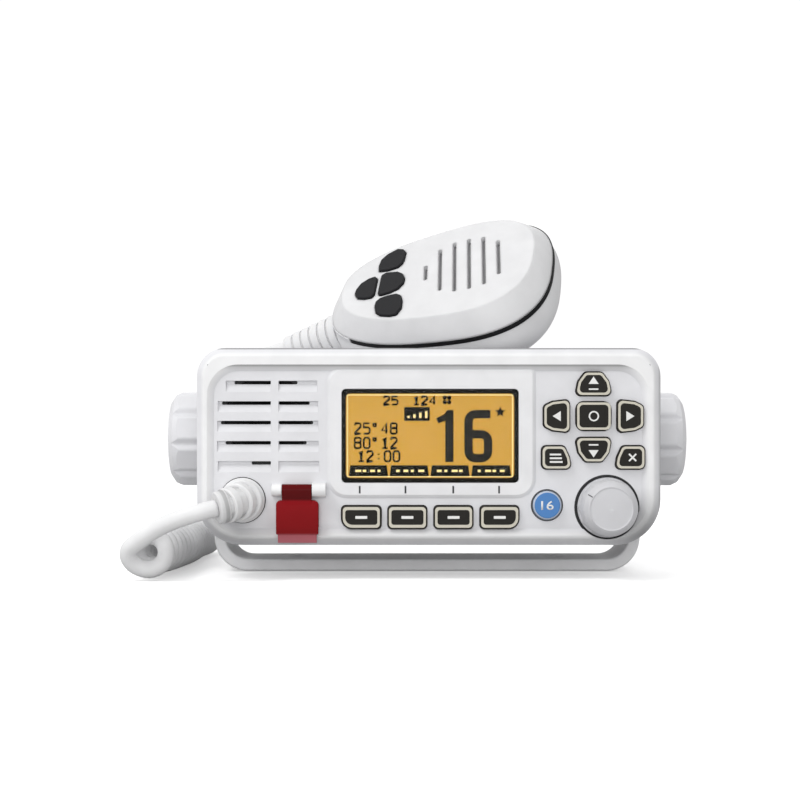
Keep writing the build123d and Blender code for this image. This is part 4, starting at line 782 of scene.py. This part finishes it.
# ------------------------------------------------------------------ keys
KEYS = {
    "key_up": [(49.2, 61.7), (61.6, 61.7), (60.6, 66.5), (58.3, 69.6), (52.5, 69.6), (50.2, 66.5)],
    "key_down": [(52.5, 39.4), (58.3, 39.4), (60.6, 42.5), (61.6, 47.6), (49.2, 47.6), (50.2, 42.5)],
    "key_left": [(38.6, 51.3), (41.5, 49.9), (47.4, 49.2), (47.4, 60.4), (41.5, 59.7), (38.6, 58.3)],
    "key_right": [(63.4, 49.2), (69.3, 49.9), (72.2, 51.3), (72.2, 58.3), (69.3, 59.7), (63.4, 60.4)],
    "key_enter": [(49.6, 50.0), (61.3, 50.0), (61.3, 59.6), (49.6, 59.6)],
    "key_menu": [(38.0, 37.0), (48.0, 37.0), (47.3, 41.0), (45.6, 44.8), (38.0, 44.8)],
    "key_clear": [(62.6, 37.0), (72.6, 37.0), (72.6, 44.8), (65.0, 44.8), (63.3, 41.0)],
}
YK = -46.3
for k, pts in KEYS.items():
    frame_plate(k + "_ring", rounded(inset(pts, 0.22), 1.6), rounded(inset(pts, 0.98), 1.3), YK + 0.2, YK - 0.03, M["key_ring"], k)
    plate(k + "_face", rounded(inset(pts, 1.0), 1.3), YK + 0.1, YK - 0.14, M["key_face"], k, bevel=0.1)
YI = YK - 0.15


def ink(name, pts, body, mat=None, y=YI):
    return plate(name, pts, y, y - 0.05, mat or M["white_ink"], body)


ink("mark_left", [(41.55, 54.8), (44.3, 53.1), (44.3, 56.5)], "key_left")
ink("mark_right", [(69.0, 54.8), (66.3, 56.5), (66.3, 53.1)], "key_right")
ink("mark_up", [(53.6, 65.6), (57.0, 65.6), (55.3, 68.1)], "key_up")
ink("mark_down", [(55.3, 40.9), (57.0, 43.4), (53.6, 43.4)], "key_down")
frame_plate("mark_enter", circle(55.4, 54.8, 1.75, 32), circle(55.4, 54.8, 1.25, 32), YI, YI - 0.05, M["white_ink"], "key_enter")
for i in range(3):
    ink(f"mark_menu_{i}", rect(40.6, 44.9 - 0.25 * i, 39.1 + 1.25 * i, 39.7 + 1.25 * i, 0), "key_menu")
for i, s in enumerate((1, -1)):
    c = Vector((68.4, 40.9))
    a = Vector((math.cos(s * math.pi / 4), math.sin(s * math.pi / 4)))
    nrm2 = Vector((-a.y, a.x))
    ink(f"mark_clear_{i}", [tuple(c - a * 1.7 - nrm2 * 0.28), tuple(c + a * 1.7 - nrm2 * 0.28), tuple(c + a * 1.7 + nrm2 * 0.28), tuple(c - a * 1.7 + nrm2 * 0.28)], "key_clear", y=YI - 0.02 * i)
ink("mark_up_bar", rect(53.7, 56.9, 63.6, 64.1, 0), "key_up")
ink("mark_down_bar", rect(53.7, 56.9, 44.9, 45.4, 0), "key_down")

SOFT_X = [(-29.3, -16.1), (-13.7, -0.7), (1.8, 14.8), (17.3, 30.3)]
for i, (a, b_) in enumerate(SOFT_X):
    cx = (a + b_) / 2
    k = f"soft_key_{i + 1}"
    rb_ = [3.1 if i == 0 else 1.2, 3.1 if i == 3 else 1.2, 1.2, 1.2]
    ri_ = [2.4 if i == 0 else 0.9, 2.4 if i == 3 else 0.9, 0.9, 0.9]
    frame_plate(k + "_ring", rounded(rect(cx - 6.2, cx + 6.2, 17.3, 24.25), rb_), rounded(rect(cx - 5.4, cx + 5.4, 18.3, 23.25), ri_), YK + 0.2, YK - 0.03, M["key_ring"], k)
    plate(k + "_face", rounded(rect(cx - 5.38, cx + 5.38, 18.32, 23.23), ri_), YK + 0.1, YK - 0.14, M["key_face"], k, bevel=0.1)
    ink(k + "_bar", rect(cx - 2.0, cx + 2.0, 20.3, 21.25, 0.2), k, y=YK - 0.13)

plate("channel_key_face", circle(39.8, 24.8, 4.3), -46.4, -46.66, M["blue"], "key_channel", bevel=0.14)
frame_plate("channel_key_surround", circle(39.8, 24.8, 5.42, 56), circle(39.8, 24.8, 5.12, 56), -44.5, -44.66, M["dark_ink"], "radio")
# painted shade: a black ring behind the dial's rim stands for the shadow in the gap round the dial
frame_plate("dial_gap_shade_ring", circle(60.0, 24.1, 10.98, 72), circle(60.0, 24.1, 8.0, 72), -44.58, -44.68, M["washer"], "radio")
glyphs("channel_key_number", "16", 37.7, 41.9, 23.3, 26.3, M["white_ink"], -46.65, body="key_channel", bold=0.01)

# dust felt behind the microphone's slots
MV_ = (0.11676908, 0.73738836, 0.66530117)
MW_ = (-0.33474698, -0.60146358, 0.72538681)


def mic_pt(u_, v_, w_):
    return tuple((c_ + MIC_U[i_] * u_ + MV_[i_] * v_ + MW_[i_] * w_) * MM for i_, c_ in enumerate((5.51, 4.05, 101.15)))


ft = rounded([(-6.0, -16.5), (26.8, -16.5), (26.8, 16.5), (-6.0, 16.5)], 5.0)
fv = [mic_pt(a_, b_, 7.0) for a_, b_ in ft] + [mic_pt(a_, b_, 7.08) for a_, b_ in ft]
nf_ = len(ft)
ff_ = [tuple(range(nf_)), tuple(nf_ + i for i in range(nf_))] + [(i, (i + 1) % nf_, nf_ + (i + 1) % nf_, nf_ + i) for i in range(nf_)]
add_mesh("mic_dust_felt", fv, ff_, M["felt"], "mic")
# dark ring round the cord boot: painted shade standing for the boot's contact shadow on the panel
frame_plate("boot_contact_shade_ring", circle(-62.7, 26.5, 7.8, 64), circle(-62.7, 26.5, 6.6, 64), -44.55, -44.74, M["washer"], "radio")
# pointer on the dial's sloping face
dk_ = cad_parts["dial_knob"]
px_, pz_ = [], []
A_ = Vector((53.6 - 60.0, 28.1 - 24.1)).normalized()
N_ = Vector((-A_.y, A_.x))
pv_, pf_ = [], []
for i in range(7):
    rr_ = 7.35 + 0.25 * i
    for sg in (-0.16, 0.16):
        X_ = 60.0 + A_.x * rr_ + N_.x * sg
        Z_ = 24.1 + A_.y * rr_ + N_.y * sg
        hit, hp, hn, hi_ = dk_.ray_cast(Vector((X_ * MM, -0.09, Z_ * MM)), Vector((0, 1, 0)))
        y_ = hp.y if hit else -0.055
        pv_ += [(X_ * MM, y_ - 0.00004, Z_ * MM), (X_ * MM, y_ + 0.0002, Z_ * MM)]
for i in range(6):
    k_ = 4 * i
    pf_ += [(k_, k_ + 4, k_ + 6, k_ + 2), (k_ + 1, k_ + 3, k_ + 7, k_ + 5), (k_, k_ + 1, k_ + 5, k_ + 4), (k_ + 2, k_ + 6, k_ + 7, k_ + 3)]
pf_ += [(0, 2, 3, 1), (24, 25, 27, 26)]
add_mesh("dial_pointer", pv_, pf_, M["dark_ink"], "dial")

# ------------------------------------------------------------------ floor and light
fm = bpy.data.materials.new("floor")
fm.use_nodes = True
fn, fl_ = fm.node_tree.nodes, fm.node_tree.links
pb = fn["Principled BSDF"]
pb.inputs["Roughness"].default_value = 0.75
pb.inputs["Specular IOR Level"].default_value = 0.2
tcf = fn.new("ShaderNodeTexCoord")
nf = fn.new("ShaderNodeTexNoise"); nf.inputs["Scale"].default_value = 3.0
rf = fn.new("ShaderNodeValToRGB")
rf.color_ramp.elements[0].color = (0.93, 0.93, 0.93, 1)
rf.color_ramp.elements[1].color = (0.96, 0.96, 0.96, 1)
fl_.new(tcf.outputs["Object"], nf.inputs["Vector"])
fl_.new(nf.outputs["Fac"], rf.inputs["Fac"])
fl_.new(rf.outputs["Color"], pb.inputs["Base Color"])
# the floor returns less light to the object than it shows, as a lit sweep does
lp = fn.new("ShaderNodeLightPath")
db = fn.new("ShaderNodeBsdfDiffuse")
db.inputs["Color"].default_value = (0.50, 0.50, 0.50, 1)
pb.inputs["Emission Color"].default_value = (1, 1, 1, 1)
pb.inputs["Emission Strength"].default_value = 0.38
ms_ = fn.new("ShaderNodeMixShader")
fl_.new(lp.outputs["Is Camera Ray"], ms_.inputs["Fac"])
fl_.new(db.outputs["BSDF"], ms_.inputs[1])
fl_.new(pb.outputs["BSDF"], ms_.inputs[2])
fl_.new(ms_.outputs["Shader"], fn["Material Output"].inputs["Surface"])
bm = bmesh.new()
bmesh.ops.create_circle(bm, cap_ends=True, radius=6.0, segments=64)
fme = bpy.data.meshes.new("floor")
bm.to_mesh(fme)
bm.free()
floor = bpy.data.objects.new("floor", fme)
floor.location = (0, 0, -0.0003)
floor.data.materials.append(fm)
COL.objects.link(floor)

w = bpy.data.worlds.new("studio")
bpy.context.scene.world = w
w.use_nodes = True
wn, wl = w.node_tree.nodes, w.node_tree.links
bg = wn["Background"]
wtc = wn.new("ShaderNodeTexCoord")
wsp = wn.new("ShaderNodeSeparateXYZ")
wl.new(wtc.outputs["Generated"], wsp.inputs["Vector"])
wmr = wn.new("ShaderNodeMapRange")
wmr.inputs["From Min"].default_value = 0.0
wmr.inputs["From Max"].default_value = 1.0
wmr.inputs["To Min"].default_value = 0.78
wmr.inputs["To Max"].default_value = 0.86
wl.new(wsp.outputs["Z"], wmr.inputs["Value"])
# a little more light from the left than from the right
wmx = wn.new("ShaderNodeMapRange")
wmx.inputs["From Min"].default_value = -1.0
wmx.inputs["From Max"].default_value = 1.0
wmx.inputs["To Min"].default_value = 1.12
wmx.inputs["To Max"].default_value = 0.78
wl.new(wsp.outputs["X"], wmx.inputs["Value"])
wmu = wn.new("ShaderNodeMath"); wmu.operation = "MULTIPLY"
wl.new(wmr.outputs["Result"], wmu.inputs[0])
wl.new(wmx.outputs["Result"], wmu.inputs[1])
bg.inputs["Color"].default_value = (1, 1, 1, 1)
wl.new(wmu.outputs[0], bg.inputs["Strength"])
bgc = wn.new("ShaderNodeBackground")
bgc.inputs["Color"].default_value = (1, 1, 1, 1)
bgc.inputs["Strength"].default_value = 1.05
wlp = wn.new("ShaderNodeLightPath")
wms = wn.new("ShaderNodeMixShader")
wl.new(wlp.outputs["Is Camera Ray"], wms.inputs["Fac"])
wl.new(bg.outputs["Background"], wms.inputs[1])
wl.new(bgc.outputs["Background"], wms.inputs[2])
wl.new(wms.outputs["Shader"], wn["World Output"].inputs["Surface"])


def area(name, loc, aim, size, power):
    d = bpy.data.lights.new(name, "AREA")
    d.shape = "DISK"
    d.size = size
    d.energy = power
    o = bpy.data.objects.new(name, d)
    o.location = loc
    o.rotation_euler = (Vector(aim) - Vector(loc)).to_track_quat("-Z", "Y").to_euler()
    COL.objects.link(o)
    return o


area("key", (-0.55, -0.45, 0.95), (0, 0, 0.05), 0.45, 4.0)
area("front", (-0.10, -1.2, 0.14), (0, 0, 0.05), 0.7, 4.6)
area("back", (0.1, 0.9, 0.9), (0, 0, 0.05), 0.8, 2.0)
